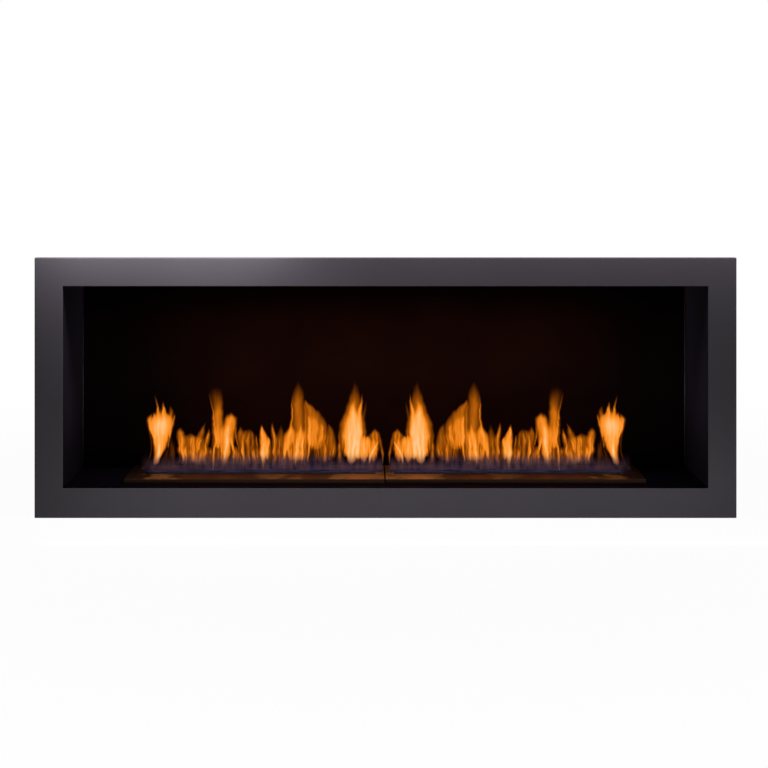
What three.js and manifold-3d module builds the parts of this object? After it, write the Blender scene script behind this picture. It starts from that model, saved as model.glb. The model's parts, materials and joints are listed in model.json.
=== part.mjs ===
// Linear ethanol fireplace insert: a flat surround, a double-skinned firebox and two drop-in
// burners, each with its own sliding damper.
// Millimetres, +Z up, the surround faces -Y. The origin is at the middle of the base.

import * as THREE from 'three';
import { mergeVertices } from 'three/addons/utils/BufferGeometryUtils.js';
import Module from 'manifold-3d';

const wasm = await Module();
wasm.setup();

// ---------------------------------------------------------------- driving dimensions

// Gap kept between two pieces that touch.
const FIT = 0.3;

// Surround: one flat plate with a folded outer edge.
const SURROUND_WIDTH = 1650;
const SURROUND_HEIGHT = 612;
const SIDE_RAIL = 66.5;
const TOP_RAIL = 67;
const BOTTOM_RAIL = 70;
const SURROUND_SHEET = 3;
const SURROUND_RETURN = 20;

// Casing: the outer skin that goes into the recess.
const SURROUND_OVERLAP = 25;
const CASING_SHEET = 1.5;
const CASING_REAR_FLANGE = 20;
const CASING_LINER_GAP = 3;

// Cooling slots, in an upper and a lower row on each side of the casing.
const VENT_WIDTH = 8;
const VENT_LENGTH = 60;
const VENT_PITCH = 25;
const VENT_COUNT = 8;
const VENT_EDGE = 50;

// Firebox liner, and the air gap between its back wall and the casing's.
const LINER_SHEET = 2;
const LINER_FRONT_FLANGE = 28;
const BACK_AIR_GAP = 9.7;
const LINER_REAR_CLEARANCE = 1.7;

// Bearers under the hearth floor.
const BEARER_WIDTH = 30;
const BEARER_SHEET = 2;
const BEARER_FRONT_GAP = 3;
const CENTRE_BEARER_WIDTH = 14;
const BEARER_END_GAP = 5;

// Runners under the casing.
const RUNNER_CROWN = 50;
const RUNNER_FOOT = 15;
const RUNNER_SHEET = 2;
const RUNNER_LENGTH = 240;
const RUNNER_SPREAD = 1200;

// Channels that hold the two skins apart, and the board over the ceiling.
const SPACER_CROWN = 30;
const SPACER_FOOT = 12;
const SPACER_SHEET = 1.5;
const BACK_SPACER_LENGTH = 400;
const BACK_SPACER_SPREAD = 700;
const TOP_SPACER_LENGTH = 250;
const TOP_SPACER_SPREAD = 1300;
const BOARD_THICKNESS = 12;
const BOARD_EDGE_GAP = 5;

// Brackets.
const BRACKET_SHEET = 2;
const BRACKET_HEIGHT = 50;
const BRACKET_EDGE = 70;
const WALL_BRACKET_FOOT = 22;
const WALL_BRACKET_LEG = 40;
const WALL_SLOT_WIDTH = 7;
const WALL_SLOT_LENGTH = 20;
const SURROUND_BRACKET_FOOT = 18;
const SURROUND_BRACKET_LEG = 26;

// Burner: a rimmed top plate over a fuel tank.
const BURNER_LENGTH = 621;
const BURNER_DEPTH = 190;
const BURNER_GAP = 3;
const BURNER_SETBACK = 60;
const BURNER_REAR_GAP = 35;
const BURNER_SHEET = 2;
const RIM_HEIGHT = 10.7;
const SLOT_WIDTH = 48;
const SLOT_OUTER_MARGIN = 36;
const SLOT_INNER_MARGIN = 22;

// Fuel tank and what lies in it.
const TANK_MARGIN = 10;
const TANK_SHEET = 1.5;
const TANK_GROUND_GAP = 4.5;
const CUTOUT_GAP = 1;
const WOOL_HEIGHT = 25;
const WOOL_GAP = 0.5;
const GRILLE_SHEET = 1.5;
const GRILLE_HOLE_LENGTH = 30;
const GRILLE_HOLE_WIDTH = 8;
const GRILLE_PITCH_X = 40;
const GRILLE_PITCH_Y = 14;

// Damper: the plate that slides forward under the slot, its hook tab and its guides.
const DAMPER_SHEET = 1.5;
const DAMPER_LAP = 3;
const DAMPER_END_LAP = 2;
const DAMPER_PARK_GAP = 0.5;
const TAB_WIDTH = 20;
const TAB_RISE = 10;
const TAB_SETBACK = 6;
const TAB_HOLE = 6;
const NOTCH_GAP = 2;
const GUIDE_SHEET = 1.5;
const GUIDE_LAP = 4;
const GUIDE_GAP = 0.5;

// ---------------------------------------------------------------- places worked out from them

const fireboxDepth = BURNER_SETBACK + BURNER_DEPTH + BURNER_REAR_GAP;
const overallDepth = fireboxDepth + LINER_SHEET + BACK_AIR_GAP + 2 * CASING_SHEET + FIT;
const frontY = -overallDepth / 2;
const rearY = overallDepth / 2;
const surroundBackY = frontY + SURROUND_SHEET;
const openingHalf = SURROUND_WIDTH / 2 - SIDE_RAIL;
const hearthZ = BOTTOM_RAIL;
const ceilingZ = SURROUND_HEIGHT - TOP_RAIL;

const casingHalf = SURROUND_WIDTH / 2 - SURROUND_OVERLAP;
const casingBottomZ = SURROUND_OVERLAP;
const casingTopZ = SURROUND_HEIGHT - SURROUND_OVERLAP;
const casingFloorZ = casingBottomZ + CASING_SHEET;

const linerFlangeY = surroundBackY + FIT;
const casingFrontY = linerFlangeY + LINER_SHEET + FIT;
const linerWallOuter = openingHalf + LINER_SHEET;
const linerBackY = frontY + fireboxDepth;
const casingBackPlateY = linerBackY + LINER_SHEET + BACK_AIR_GAP;
const linerRearY = casingBackPlateY - LINER_REAR_CLEARANCE;
const casingFlangeInner = linerWallOuter + CASING_LINER_GAP;

const hearthUnderZ = hearthZ - LINER_SHEET;
const bearerHeight = hearthUnderZ - casingFloorZ - 2 * FIT;
const bearerBaseZ = casingFloorZ + FIT;
const frontBearerY = casingFrontY + CASING_SHEET + BEARER_FRONT_GAP + BEARER_WIDTH / 2;
const rearBearerY = linerBackY - BEARER_WIDTH / 2;

const burnerFrontY = frontY + BURNER_SETBACK;
const burnerY = burnerFrontY + BURNER_DEPTH / 2;
const burnerCentreX = (BURNER_GAP + BURNER_LENGTH) / 2;
const rimBaseZ = hearthZ + FIT;
const rimTopZ = rimBaseZ + RIM_HEIGHT;
const rimUnderZ = rimTopZ - BURNER_SHEET;
const slotLength = BURNER_LENGTH - SLOT_OUTER_MARGIN - SLOT_INNER_MARGIN;
const slotShift = (SLOT_OUTER_MARGIN - SLOT_INNER_MARGIN) / 2;

const tankLength = BURNER_LENGTH - 2 * TANK_MARGIN;
const tankDepth = BURNER_DEPTH - 2 * TANK_MARGIN;
const tankBaseZ = casingFloorZ + TANK_GROUND_GAP;
const tankTopZ = rimUnderZ - FIT;
const woolBaseZ = tankBaseZ + TANK_SHEET + FIT;
const grilleBaseZ = woolBaseZ + WOOL_HEIGHT + FIT;

const damperLength = slotLength + 2 * DAMPER_END_LAP;
const damperWidth = SLOT_WIDTH + 2 * DAMPER_LAP;
const damperTopZ = rimUnderZ - FIT;
const damperParkedFront = SLOT_WIDTH / 2 + DAMPER_PARK_GAP;
const damperTravel = damperParkedFront + SLOT_WIDTH / 2 + DAMPER_LAP;

// ---------------------------------------------------------------- finishes

/** A finish: its colour, how rough it is and how metallic. */
function finish(color, roughness, metalness) {
  return { color, roughness, metalness };
}

const SURROUND_COAT = finish('#3a373b', 0.5, 0.2);
const LINER_COAT = finish('#151215', 0.6, 0.2);
const ZINC_SHEET = finish('#9a9ca0', 0.45, 0.9);
const BURNER_STEEL = finish('#2e2826', 0.4, 0.7);
const TANK_STEEL = finish('#8d8a86', 0.35, 0.9);
const CERAMIC_WOOL = finish('#e9e6df', 0.95, 0);
const BOARD = finish('#cfcabc', 0.95, 0);

// ---------------------------------------------------------------- shapes and solids

/** The solid that a closed geometry bounds. */
function toSolid(geometry) {
  const bare = geometry.clone();
  bare.deleteAttribute('normal');
  bare.deleteAttribute('uv');
  const merged = mergeVertices(bare);
  return new wasm.Manifold(new wasm.Mesh({
    numProp: 3,
    vertProperties: new Float32Array(merged.attributes.position.array),
    triVerts: new Uint32Array(merged.index.array),
  }));
}

/** The geometry of a solid's surface. */
function toGeometry(solid) {
  const mesh = solid.getMesh();
  const geometry = new THREE.BufferGeometry();
  geometry.setAttribute('position', new THREE.BufferAttribute(mesh.vertProperties, 3));
  geometry.setIndex(new THREE.BufferAttribute(mesh.triVerts, 1));
  geometry.computeVertexNormals();
  return geometry;
}

/** One solid from several that overlap. */
function join(solids) {
  return solids.reduce((whole, solid) => whole.add(solid));
}

/** A solid with others taken out of it. */
function cut(solid, tools) {
  return tools.reduce((rest, tool) => rest.subtract(tool), solid);
}

/** A solid block between two corners. */
function block([x0, y0, z0], [x1, y1, z1]) {
  const geometry = new THREE.BoxGeometry(x1 - x0, y1 - y0, z1 - z0);
  geometry.translate((x0 + x1) / 2, (y0 + y1) / 2, (z0 + z1) / 2);
  return toSolid(geometry);
}

/** A closed outline of [u, v] points, extruded both ways from its plane. */
function extrudeOutline(points, length) {
  const shape = new THREE.Shape(points.map(([u, v]) => new THREE.Vector2(u, v)));
  const geometry = new THREE.ExtrudeGeometry(shape, { depth: length, bevelEnabled: false });
  geometry.translate(0, 0, -length / 2);
  return geometry;
}

/** A section drawn in Y and Z, extruded along X. */
function extrudeAlongX(points, length) {
  const geometry = extrudeOutline(points, length);
  const turn = new THREE.Matrix4().makeBasis(
    new THREE.Vector3(0, 1, 0),
    new THREE.Vector3(0, 0, 1),
    new THREE.Vector3(1, 0, 0),
  );
  return toSolid(geometry.applyMatrix4(turn));
}

/** A section drawn in X and Z, extruded along Y. */
function extrudeAlongY(points, length) {
  return toSolid(extrudeOutline(points, length).rotateX(Math.PI / 2));
}

/** A section drawn in X and Y, extruded along Z. */
function extrudeAlongZ(points, length) {
  return toSolid(extrudeOutline(points, length));
}

/** A hat section: its crown at v = 0, its two feet at v = height. */
function hatSection(crown, height, foot, sheet) {
  const half = crown / 2;
  return [
    [-half, 0],
    [half, 0],
    [half, height - sheet],
    [half + foot, height - sheet],
    [half + foot, height],
    [half - sheet, height],
    [half - sheet, sheet],
    [-half + sheet, sheet],
    [-half + sheet, height],
    [-half - foot, height],
    [-half - foot, height - sheet],
    [-half, height - sheet],
  ];
}

/** A channel section that opens downwards, its web at v = height. */
function channelSection(width, height, sheet) {
  const half = width / 2;
  return [
    [-half, 0],
    [-half + sheet, 0],
    [-half + sheet, height - sheet],
    [half - sheet, height - sheet],
    [half - sheet, 0],
    [half, 0],
    [half, height],
    [-half, height],
  ];
}

/** An angle section from its corner: one leg along u, one along v, each with its own sign. */
function angleSection(legU, legV, sheet) {
  const u = Math.sign(legU) * sheet;
  const v = Math.sign(legV) * sheet;
  return [
    [0, 0],
    [legU, 0],
    [legU, v],
    [u, v],
    [u, legV],
    [0, legV],
  ];
}

const insert = new THREE.Group();

/** Names a solid, gives it its finish and puts it in a group. */
function addPart(group, name, solid, coat, position = [0, 0, 0]) {
  const mesh = new THREE.Mesh(toGeometry(solid), new THREE.MeshStandardMaterial(coat));
  mesh.name = name;
  mesh.position.set(...position);
  group.add(mesh);
}

// ---------------------------------------------------------------- surround

/** Flat plate with the firebox opening, and its edge folded back all round. */
function makeSurround() {
  const half = SURROUND_WIDTH / 2;
  const returnY = frontY + SURROUND_RETURN;
  const shell = cut(block([-half, frontY, 0], [half, returnY, SURROUND_HEIGHT]), [
    block(
      [-half + SURROUND_SHEET, surroundBackY, SURROUND_SHEET],
      [half - SURROUND_SHEET, returnY + 1, SURROUND_HEIGHT - SURROUND_SHEET],
    ),
  ]);
  const opening = block(
    [-openingHalf, frontY - 1, hearthZ],
    [openingHalf, surroundBackY + 1, ceilingZ],
  );
  return cut(shell, [opening]);
}

addPart(insert, 'front_surround', makeSurround(), SURROUND_COAT);

/** Angle that holds the surround's plate to the casing's side. */
function addSurroundBrackets() {
  const heights = { lower: casingBottomZ + BRACKET_EDGE, upper: casingTopZ - BRACKET_EDGE };
  for (const [place, z] of Object.entries(heights)) {
    for (const [hand, side] of [['left', -1], ['right', 1]]) {
      const section = angleSection(side * SURROUND_BRACKET_FOOT, SURROUND_BRACKET_LEG, BRACKET_SHEET);
      const bracket = extrudeAlongZ(section, BRACKET_HEIGHT);
      const position = [side * (casingHalf + FIT), surroundBackY + FIT, z];
      addPart(insert, `surround_bracket_${place}_${hand}`, bracket, ZINC_SHEET, position);
    }
  }
}

addSurroundBrackets();

// ---------------------------------------------------------------- casing

/** Row of cooling slots through a side of the casing, centred on one height. */
function ventTools(wallX, z) {
  const middle = (casingFrontY + rearY) / 2;
  return Array.from({ length: VENT_COUNT }, (_, index) => {
    const y = middle + (index - (VENT_COUNT - 1) / 2) * VENT_PITCH;
    return block(
      [wallX - 2 * CASING_SHEET, y - VENT_WIDTH / 2, z - VENT_LENGTH / 2],
      [wallX + 2 * CASING_SHEET, y + VENT_WIDTH / 2, z + VENT_LENGTH / 2],
    );
  });
}

/** Side of the casing, with its front and rear flanges turned inwards and its cooling slots. */
function makeCasingSide(side) {
  const wall = [casingHalf - CASING_SHEET, casingHalf];
  const flangeZ = [casingFloorZ + FIT, casingTopZ - CASING_SHEET - FIT];
  const spanX = (from, to) => (side > 0 ? [from, to] : [-to, -from]);
  const plate = (x, y, z) => block([x[0], y[0], z[0]], [x[1], y[1], z[1]]);
  const wallX = spanX(...wall);
  const panel = join([
    plate(wallX, [casingFrontY, rearY], [casingBottomZ, casingTopZ]),
    plate(spanX(casingFlangeInner, casingHalf), [casingFrontY, casingFrontY + CASING_SHEET], flangeZ),
    plate(spanX(casingHalf - CASING_REAR_FLANGE, casingHalf), [rearY - CASING_SHEET, rearY], flangeZ),
  ]);
  const rowOffset = VENT_EDGE + VENT_LENGTH / 2;
  return cut(panel, [
    ...ventTools(wallX[0], casingBottomZ + rowOffset),
    ...ventTools(wallX[0], casingTopZ - rowOffset),
  ]);
}

/** Top or base of the casing, between the sides, its flanges turned towards the middle. */
function makeCasingPlate(outerZ, towards, frontFlangeEnd) {
  const span = casingHalf - CASING_SHEET - FIT;
  const plate = (x, y, za, zb) => block([-x, y[0], Math.min(za, zb)], [x, y[1], Math.max(za, zb)]);
  const innerZ = outerZ + towards * CASING_SHEET;
  const rearFlangeZ = outerZ + towards * CASING_REAR_FLANGE;
  const rearFlangeHalf = casingHalf - CASING_REAR_FLANGE - FIT;
  return join([
    plate(span, [casingFrontY, rearY], outerZ, innerZ),
    plate(casingFlangeInner - FIT, [casingFrontY, casingFrontY + CASING_SHEET], outerZ, frontFlangeEnd),
    plate(rearFlangeHalf, [rearY - CASING_SHEET, rearY], outerZ, rearFlangeZ),
  ]);
}

/** Back of the casing: a flat sheet in front of the rear flanges. */
function makeCasingBack() {
  const span = casingHalf - CASING_SHEET - FIT;
  return block(
    [-span, casingBackPlateY, casingFloorZ + FIT],
    [span, casingBackPlateY + CASING_SHEET, casingTopZ - CASING_SHEET - FIT],
  );
}

addPart(insert, 'casing_left_side', makeCasingSide(-1), ZINC_SHEET);
addPart(insert, 'casing_right_side', makeCasingSide(1), ZINC_SHEET);
addPart(
  insert,
  'casing_top',
  makeCasingPlate(casingTopZ, -1, ceilingZ + LINER_SHEET + CASING_LINER_GAP),
  ZINC_SHEET,
);
addPart(
  insert,
  'casing_base',
  makeCasingPlate(casingBottomZ, 1, hearthUnderZ - CASING_LINER_GAP),
  ZINC_SHEET,
);
addPart(insert, 'casing_back', makeCasingBack(), ZINC_SHEET);

// ---------------------------------------------------------------- firebox liner

/** Side wall of the firebox, with its front flange turned outwards behind the surround. */
function makeLinerSide(side) {
  const spanX = (from, to) => (side > 0 ? [from, to] : [-to, -from]);
  const wallX = spanX(openingHalf, linerWallOuter);
  const flangeX = spanX(openingHalf, openingHalf + LINER_FRONT_FLANGE);
  const z = [hearthZ + FIT, ceilingZ - FIT];
  return join([
    block([wallX[0], linerFlangeY, z[0]], [wallX[1], linerRearY, z[1]]),
    block([flangeX[0], linerFlangeY, z[0]], [flangeX[1], linerFlangeY + LINER_SHEET, z[1]]),
  ]);
}

/** Back wall of the firebox, with its side flanges turned to the rear. */
function makeLinerBack() {
  const half = openingHalf - FIT;
  const z = [hearthZ + FIT, ceilingZ - FIT];
  const tray = block([-half, linerBackY, z[0]], [half, linerRearY, z[1]]);
  const hollow = block(
    [-half + LINER_SHEET, linerBackY + LINER_SHEET, z[0] - 1],
    [half - LINER_SHEET, linerRearY + 1, z[1] + 1],
  );
  return cut(tray, [hollow]);
}

/** Ceiling of the firebox, with its front flange turned up. */
function makeLinerCeiling() {
  return join([
    block([-linerWallOuter, linerFlangeY, ceilingZ], [linerWallOuter, linerRearY, ceilingZ + LINER_SHEET]),
    block(
      [-linerWallOuter, linerFlangeY, ceilingZ],
      [linerWallOuter, linerFlangeY + LINER_SHEET, ceilingZ + LINER_FRONT_FLANGE],
    ),
  ]);
}

/** Hearth floor, with its front flange turned down and a cut-out for each burner's tank. */
function makeHearthFloor() {
  const floor = join([
    block([-linerWallOuter, linerFlangeY, hearthUnderZ], [linerWallOuter, linerRearY, hearthZ]),
    block(
      [-linerWallOuter, linerFlangeY, hearthZ - LINER_FRONT_FLANGE],
      [linerWallOuter, linerFlangeY + LINER_SHEET, hearthZ],
    ),
  ]);
  const cutouts = [-1, 1].map((side) => {
    const x = side * burnerCentreX;
    const halfX = tankLength / 2 + CUTOUT_GAP;
    const halfY = tankDepth / 2 + CUTOUT_GAP;
    return block([x - halfX, burnerY - halfY, hearthUnderZ - 1], [x + halfX, burnerY + halfY, hearthZ + 1]);
  });
  return cut(floor, cutouts);
}

addPart(insert, 'liner_left_side', makeLinerSide(-1), LINER_COAT);
addPart(insert, 'liner_right_side', makeLinerSide(1), LINER_COAT);
addPart(insert, 'liner_back', makeLinerBack(), LINER_COAT);
addPart(insert, 'liner_ceiling', makeLinerCeiling(), LINER_COAT);
addPart(insert, 'hearth_floor', makeHearthFloor(), LINER_COAT);

// ---------------------------------------------------------------- bearers, runners, spacers, board

/** Channels under the hearth floor: one along the front, one along the back, one between. */
function addBearers() {
  const length = 2 * (linerWallOuter - BEARER_END_GAP);
  const long = channelSection(BEARER_WIDTH, bearerHeight, BEARER_SHEET);
  const short = channelSection(CENTRE_BEARER_WIDTH, bearerHeight, BEARER_SHEET);
  const shortFront = frontBearerY + BEARER_WIDTH / 2 + FIT;
  const shortRear = rearBearerY - BEARER_WIDTH / 2 - FIT;
  const shortY = (shortFront + shortRear) / 2;
  for (const [place, y] of [['front', frontBearerY], ['rear', rearBearerY]]) {
    const bearer = extrudeAlongX(long, length);
    addPart(insert, `hearth_bearer_${place}`, bearer, ZINC_SHEET, [0, y, bearerBaseZ]);
  }
  addPart(
    insert,
    'hearth_bearer_centre',
    extrudeAlongY(short, shortRear - shortFront),
    ZINC_SHEET,
    [0, shortY, bearerBaseZ],
  );
}

/** Hat-section runners that the insert stands on, level with the surround's lower edge. */
function addRunners() {
  const section = hatSection(RUNNER_CROWN, casingBottomZ - FIT, RUNNER_FOOT, RUNNER_SHEET);
  const runner = extrudeAlongY(section, RUNNER_LENGTH);
  const y = (frontY + SURROUND_RETURN + rearY) / 2;
  for (const [place, step] of [['left', -1], ['centre', 0], ['right', 1]]) {
    addPart(insert, `base_runner_${place}`, runner, ZINC_SHEET, [(step * RUNNER_SPREAD) / 2, y, 0]);
  }
}

/** Hat channels between the two skins: upright behind the back wall, front to back over the ceiling. */
function addSpacers() {
  const backGap = casingBackPlateY - (linerBackY + LINER_SHEET) - 2 * FIT;
  const backSection = hatSection(SPACER_CROWN, backGap, SPACER_FOOT, SPACER_SHEET);
  const backSpacer = extrudeAlongZ(backSection, BACK_SPACER_LENGTH);
  const backPlace = [linerBackY + LINER_SHEET + FIT, (hearthZ + ceilingZ) / 2];
  const topBaseZ = ceilingZ + LINER_SHEET + FIT;
  const topGap = casingTopZ - CASING_SHEET - FIT - topBaseZ;
  const topSection = hatSection(SPACER_CROWN, topGap, SPACER_FOOT, SPACER_SHEET);
  const topSpacer = extrudeAlongY(topSection, TOP_SPACER_LENGTH);
  for (const [place, side] of [['left', -1], ['right', 1]]) {
    const backX = (side * BACK_SPACER_SPREAD) / 2;
    const topX = (side * TOP_SPACER_SPREAD) / 2;
    addPart(insert, `back_spacer_${place}`, backSpacer, ZINC_SHEET, [backX, ...backPlace]);
    addPart(insert, `top_spacer_${place}`, topSpacer, ZINC_SHEET, [topX, 0, topBaseZ]);
  }
  const boardHalf = TOP_SPACER_SPREAD / 2 - SPACER_CROWN / 2 - SPACER_FOOT - BOARD_EDGE_GAP;
  const board = block(
    [-boardHalf, -TOP_SPACER_LENGTH / 2, topBaseZ],
    [boardHalf, TOP_SPACER_LENGTH / 2, topBaseZ + BOARD_THICKNESS],
  );
  addPart(insert, 'ceiling_insulation_board', board, BOARD);
}

/** Slotted angles at the rear of the casing's sides, which fix the insert in its recess. */
function addWallBrackets() {
  const heights = { lower: casingBottomZ + BRACKET_EDGE, upper: casingTopZ - BRACKET_EDGE };
  for (const [place, z] of Object.entries(heights)) {
    for (const [hand, side] of [['left', -1], ['right', 1]]) {
      const section = angleSection(side * WALL_BRACKET_FOOT, -WALL_BRACKET_LEG, BRACKET_SHEET);
      const slotX = side * (BRACKET_SHEET + WALL_BRACKET_FOOT) / 2;
      const slot = block(
        [slotX - WALL_SLOT_WIDTH / 2, -2 * BRACKET_SHEET, -WALL_SLOT_LENGTH / 2],
        [slotX + WALL_SLOT_WIDTH / 2, BRACKET_SHEET, WALL_SLOT_LENGTH / 2],
      );
      const bracket = cut(extrudeAlongZ(section, BRACKET_HEIGHT), [slot]);
      const x = side * (casingHalf + FIT);
      addPart(insert, `wall_bracket_${place}_${hand}`, bracket, ZINC_SHEET, [x, rearY, z]);
    }
  }
}

addBearers();
addRunners();
addSpacers();
addWallBrackets();

// ---------------------------------------------------------------- burners

/** Rimmed top plate with its slot, and the notch behind the slot where the hook tab parks. */
function makeTopPlate(slotX) {
  const halfX = BURNER_LENGTH / 2;
  const halfY = BURNER_DEPTH / 2;
  const slotHalf = slotLength / 2;
  const notchHalf = TAB_WIDTH / 2 + NOTCH_GAP;
  const notchEnd = damperParkedFront + TAB_SETBACK + DAMPER_SHEET + NOTCH_GAP;
  return cut(block([-halfX, -halfY, rimBaseZ], [halfX, halfY, rimTopZ]), [
    block(
      [-halfX + BURNER_SHEET, -halfY + BURNER_SHEET, rimBaseZ - 1],
      [halfX - BURNER_SHEET, halfY - BURNER_SHEET, rimUnderZ],
    ),
    block(
      [slotX - slotHalf, -SLOT_WIDTH / 2, rimUnderZ - 1],
      [slotX + slotHalf, SLOT_WIDTH / 2, rimTopZ + 1],
    ),
    block([slotX - notchHalf, 0, rimUnderZ - 1], [slotX + notchHalf, notchEnd, rimTopZ + 1]),
  ]);
}

/** Open-topped fuel tank. */
function makeTank() {
  const halfX = tankLength / 2;
  const halfY = tankDepth / 2;
  return cut(block([-halfX, -halfY, tankBaseZ], [halfX, halfY, tankTopZ]), [
    block(
      [-halfX + TANK_SHEET, -halfY + TANK_SHEET, tankBaseZ + TANK_SHEET],
      [halfX - TANK_SHEET, halfY - TANK_SHEET, tankTopZ + 1],
    ),
  ]);
}

/** Flat piece that fills the tank from wall to wall. */
function makeTankFiller(baseZ, height) {
  const halfX = tankLength / 2 - TANK_SHEET - WOOL_GAP;
  const halfY = tankDepth / 2 - TANK_SHEET - WOOL_GAP;
  return block([-halfX, -halfY, baseZ], [halfX, halfY, baseZ + height]);
}

/** Perforated plate that holds the wool down, with rows of holes under the slot. */
function makeGrille(slotX) {
  const columns = Math.floor(slotLength / GRILLE_PITCH_X);
  const rows = Math.floor(SLOT_WIDTH / GRILLE_PITCH_Y);
  const holes = [];
  for (let column = 0; column < columns; column += 1) {
    for (let row = 0; row < rows; row += 1) {
      const x = slotX + (column - (columns - 1) / 2) * GRILLE_PITCH_X;
      const y = (row - (rows - 1) / 2) * GRILLE_PITCH_Y;
      holes.push(block(
        [x - GRILLE_HOLE_LENGTH / 2, y - GRILLE_HOLE_WIDTH / 2, grilleBaseZ - 1],
        [x + GRILLE_HOLE_LENGTH / 2, y + GRILLE_HOLE_WIDTH / 2, grilleBaseZ + GRILLE_SHEET + 1],
      ));
    }
  }
  return cut(makeTankFiller(grilleBaseZ, GRILLE_SHEET), holes);
}

/** Damper plate, open, with the tab that the hook pulls. */
function makeDamper(slotX) {
  const baseZ = damperTopZ - DAMPER_SHEET;
  const halfX = damperLength / 2;
  const tabHalf = TAB_WIDTH / 2;
  const tabFront = damperParkedFront + TAB_SETBACK;
  const tabTop = rimTopZ + TAB_RISE;
  const hole = new THREE.CylinderGeometry(TAB_HOLE / 2, TAB_HOLE / 2, 4 * DAMPER_SHEET, 16);
  hole.translate(slotX, tabFront, tabTop - TAB_RISE / 2);
  return cut(
    join([
      block(
        [slotX - halfX, damperParkedFront, baseZ],
        [slotX + halfX, damperParkedFront + damperWidth, damperTopZ],
      ),
      block([slotX - tabHalf, tabFront, baseZ], [slotX + tabHalf, tabFront + DAMPER_SHEET, tabTop]),
    ]),
    [toSolid(hole)],
  );
}

/** Guide under one end of the damper: a leg beside it, a lip below it and a stop at each end. */
function makeGuide(slotX, end) {
  const legInner = damperLength / 2 + GUIDE_GAP;
  const lipEnd = damperLength / 2 - GUIDE_LAP;
  const spanX = (from, to) => (end > 0 ? [slotX + from, slotX + to] : [slotX - to, slotX - from]);
  const lipTopZ = damperTopZ - DAMPER_SHEET - FIT;
  const lipBaseZ = lipTopZ - GUIDE_SHEET;
  const front = damperParkedFront - damperTravel - GUIDE_GAP - GUIDE_SHEET;
  const rear = damperParkedFront + damperWidth + GUIDE_GAP + GUIDE_SHEET;
  const lipX = spanX(lipEnd, legInner + GUIDE_SHEET);
  const legX = spanX(legInner, legInner + GUIDE_SHEET);
  return join([
    block([lipX[0], front, lipBaseZ], [lipX[1], rear, lipTopZ]),
    block([legX[0], front, lipBaseZ], [legX[1], rear, damperTopZ]),
    block([lipX[0], front, lipBaseZ], [lipX[1], front + GUIDE_SHEET, damperTopZ]),
    block([lipX[0], rear - GUIDE_SHEET, lipBaseZ], [lipX[1], rear, damperTopZ]),
  ]);
}

/** One burner: side -1 is the left one, 1 the right one. The slots lie nearer the middle. */
function makeBurner(name, side) {
  const burner = new THREE.Group();
  const slotX = -side * slotShift;
  burner.position.set(side * burnerCentreX, burnerY, 0);
  addPart(burner, `${name}_top_plate`, makeTopPlate(slotX), BURNER_STEEL);
  addPart(burner, `${name}_fuel_tank`, makeTank(), TANK_STEEL);
  addPart(burner, `${name}_ceramic_wool`, makeTankFiller(woolBaseZ, WOOL_HEIGHT), CERAMIC_WOOL);
  addPart(burner, `${name}_wool_grille`, makeGrille(slotX), TANK_STEEL);
  addPart(burner, `${name}_guide_outer`, makeGuide(slotX, side), TANK_STEEL);
  addPart(burner, `${name}_guide_inner`, makeGuide(slotX, -side), TANK_STEEL);
  addPart(burner, `${name}_damper`, makeDamper(slotX), BURNER_STEEL);
  return burner;
}

insert.add(makeBurner('left_burner', -1));
insert.add(makeBurner('right_burner', 1));

export default insert;
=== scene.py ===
"""Looks of the linear ethanol fireplace insert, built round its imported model.

Metres, +Z up, the surround faces -Y. Sizes written in millimetres are multiplied by MM.
"""

import json
import math

import bmesh
import bpy
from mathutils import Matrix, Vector, noise

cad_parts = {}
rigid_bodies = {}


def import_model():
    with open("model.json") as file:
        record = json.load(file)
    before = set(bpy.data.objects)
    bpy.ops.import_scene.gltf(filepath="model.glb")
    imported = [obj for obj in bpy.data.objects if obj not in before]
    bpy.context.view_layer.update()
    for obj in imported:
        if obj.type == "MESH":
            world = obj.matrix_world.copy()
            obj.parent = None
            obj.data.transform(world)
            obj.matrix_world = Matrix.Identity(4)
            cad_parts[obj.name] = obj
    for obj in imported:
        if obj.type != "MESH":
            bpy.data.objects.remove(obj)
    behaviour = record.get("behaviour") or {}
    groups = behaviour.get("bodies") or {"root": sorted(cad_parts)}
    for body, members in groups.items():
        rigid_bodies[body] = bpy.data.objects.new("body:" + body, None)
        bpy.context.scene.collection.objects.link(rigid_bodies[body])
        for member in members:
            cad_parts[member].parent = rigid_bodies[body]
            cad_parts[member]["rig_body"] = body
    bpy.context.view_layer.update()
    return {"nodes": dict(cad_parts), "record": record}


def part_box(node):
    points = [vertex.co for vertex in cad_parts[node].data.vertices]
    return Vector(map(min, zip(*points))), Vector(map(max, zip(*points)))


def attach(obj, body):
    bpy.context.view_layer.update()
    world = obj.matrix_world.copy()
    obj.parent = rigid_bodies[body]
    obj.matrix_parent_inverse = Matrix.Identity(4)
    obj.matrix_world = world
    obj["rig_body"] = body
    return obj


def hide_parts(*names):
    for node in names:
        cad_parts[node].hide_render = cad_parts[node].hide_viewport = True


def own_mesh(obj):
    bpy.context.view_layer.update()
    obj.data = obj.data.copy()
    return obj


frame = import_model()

MM = 0.001
scene = bpy.context.scene
nodes = frame["nodes"]
FIRE_VALUES = ("warmth", "flicker", "cool")
# The right burner's fire is the left one's, mirrored about this X in millimetres.
FLAME_MIRROR = 3.6
# How burnt the burners' coat is, as a grey, by the distance from FLAME_MIRROR as a share of the reach below.
# The same grey lays a painted warm reflection of the flames on the coat.
BURNT_AND_REFLECTION_REACH = 650 * MM
BURNT_AND_REFLECTION_SPOTS = [
    (0.0, "909090"), (0.07, "d8d8d8"), (0.15, "d8d8d8"), (0.21, "383838"), (0.34, "202020"), (0.4, "888888"),
    (0.44, "707070"), (0.5, "181818"), (0.78, "202020"), (0.83, "b8b8b8"), (0.87, "000000"),
]

# ---------------------------- colours and nodes


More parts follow.
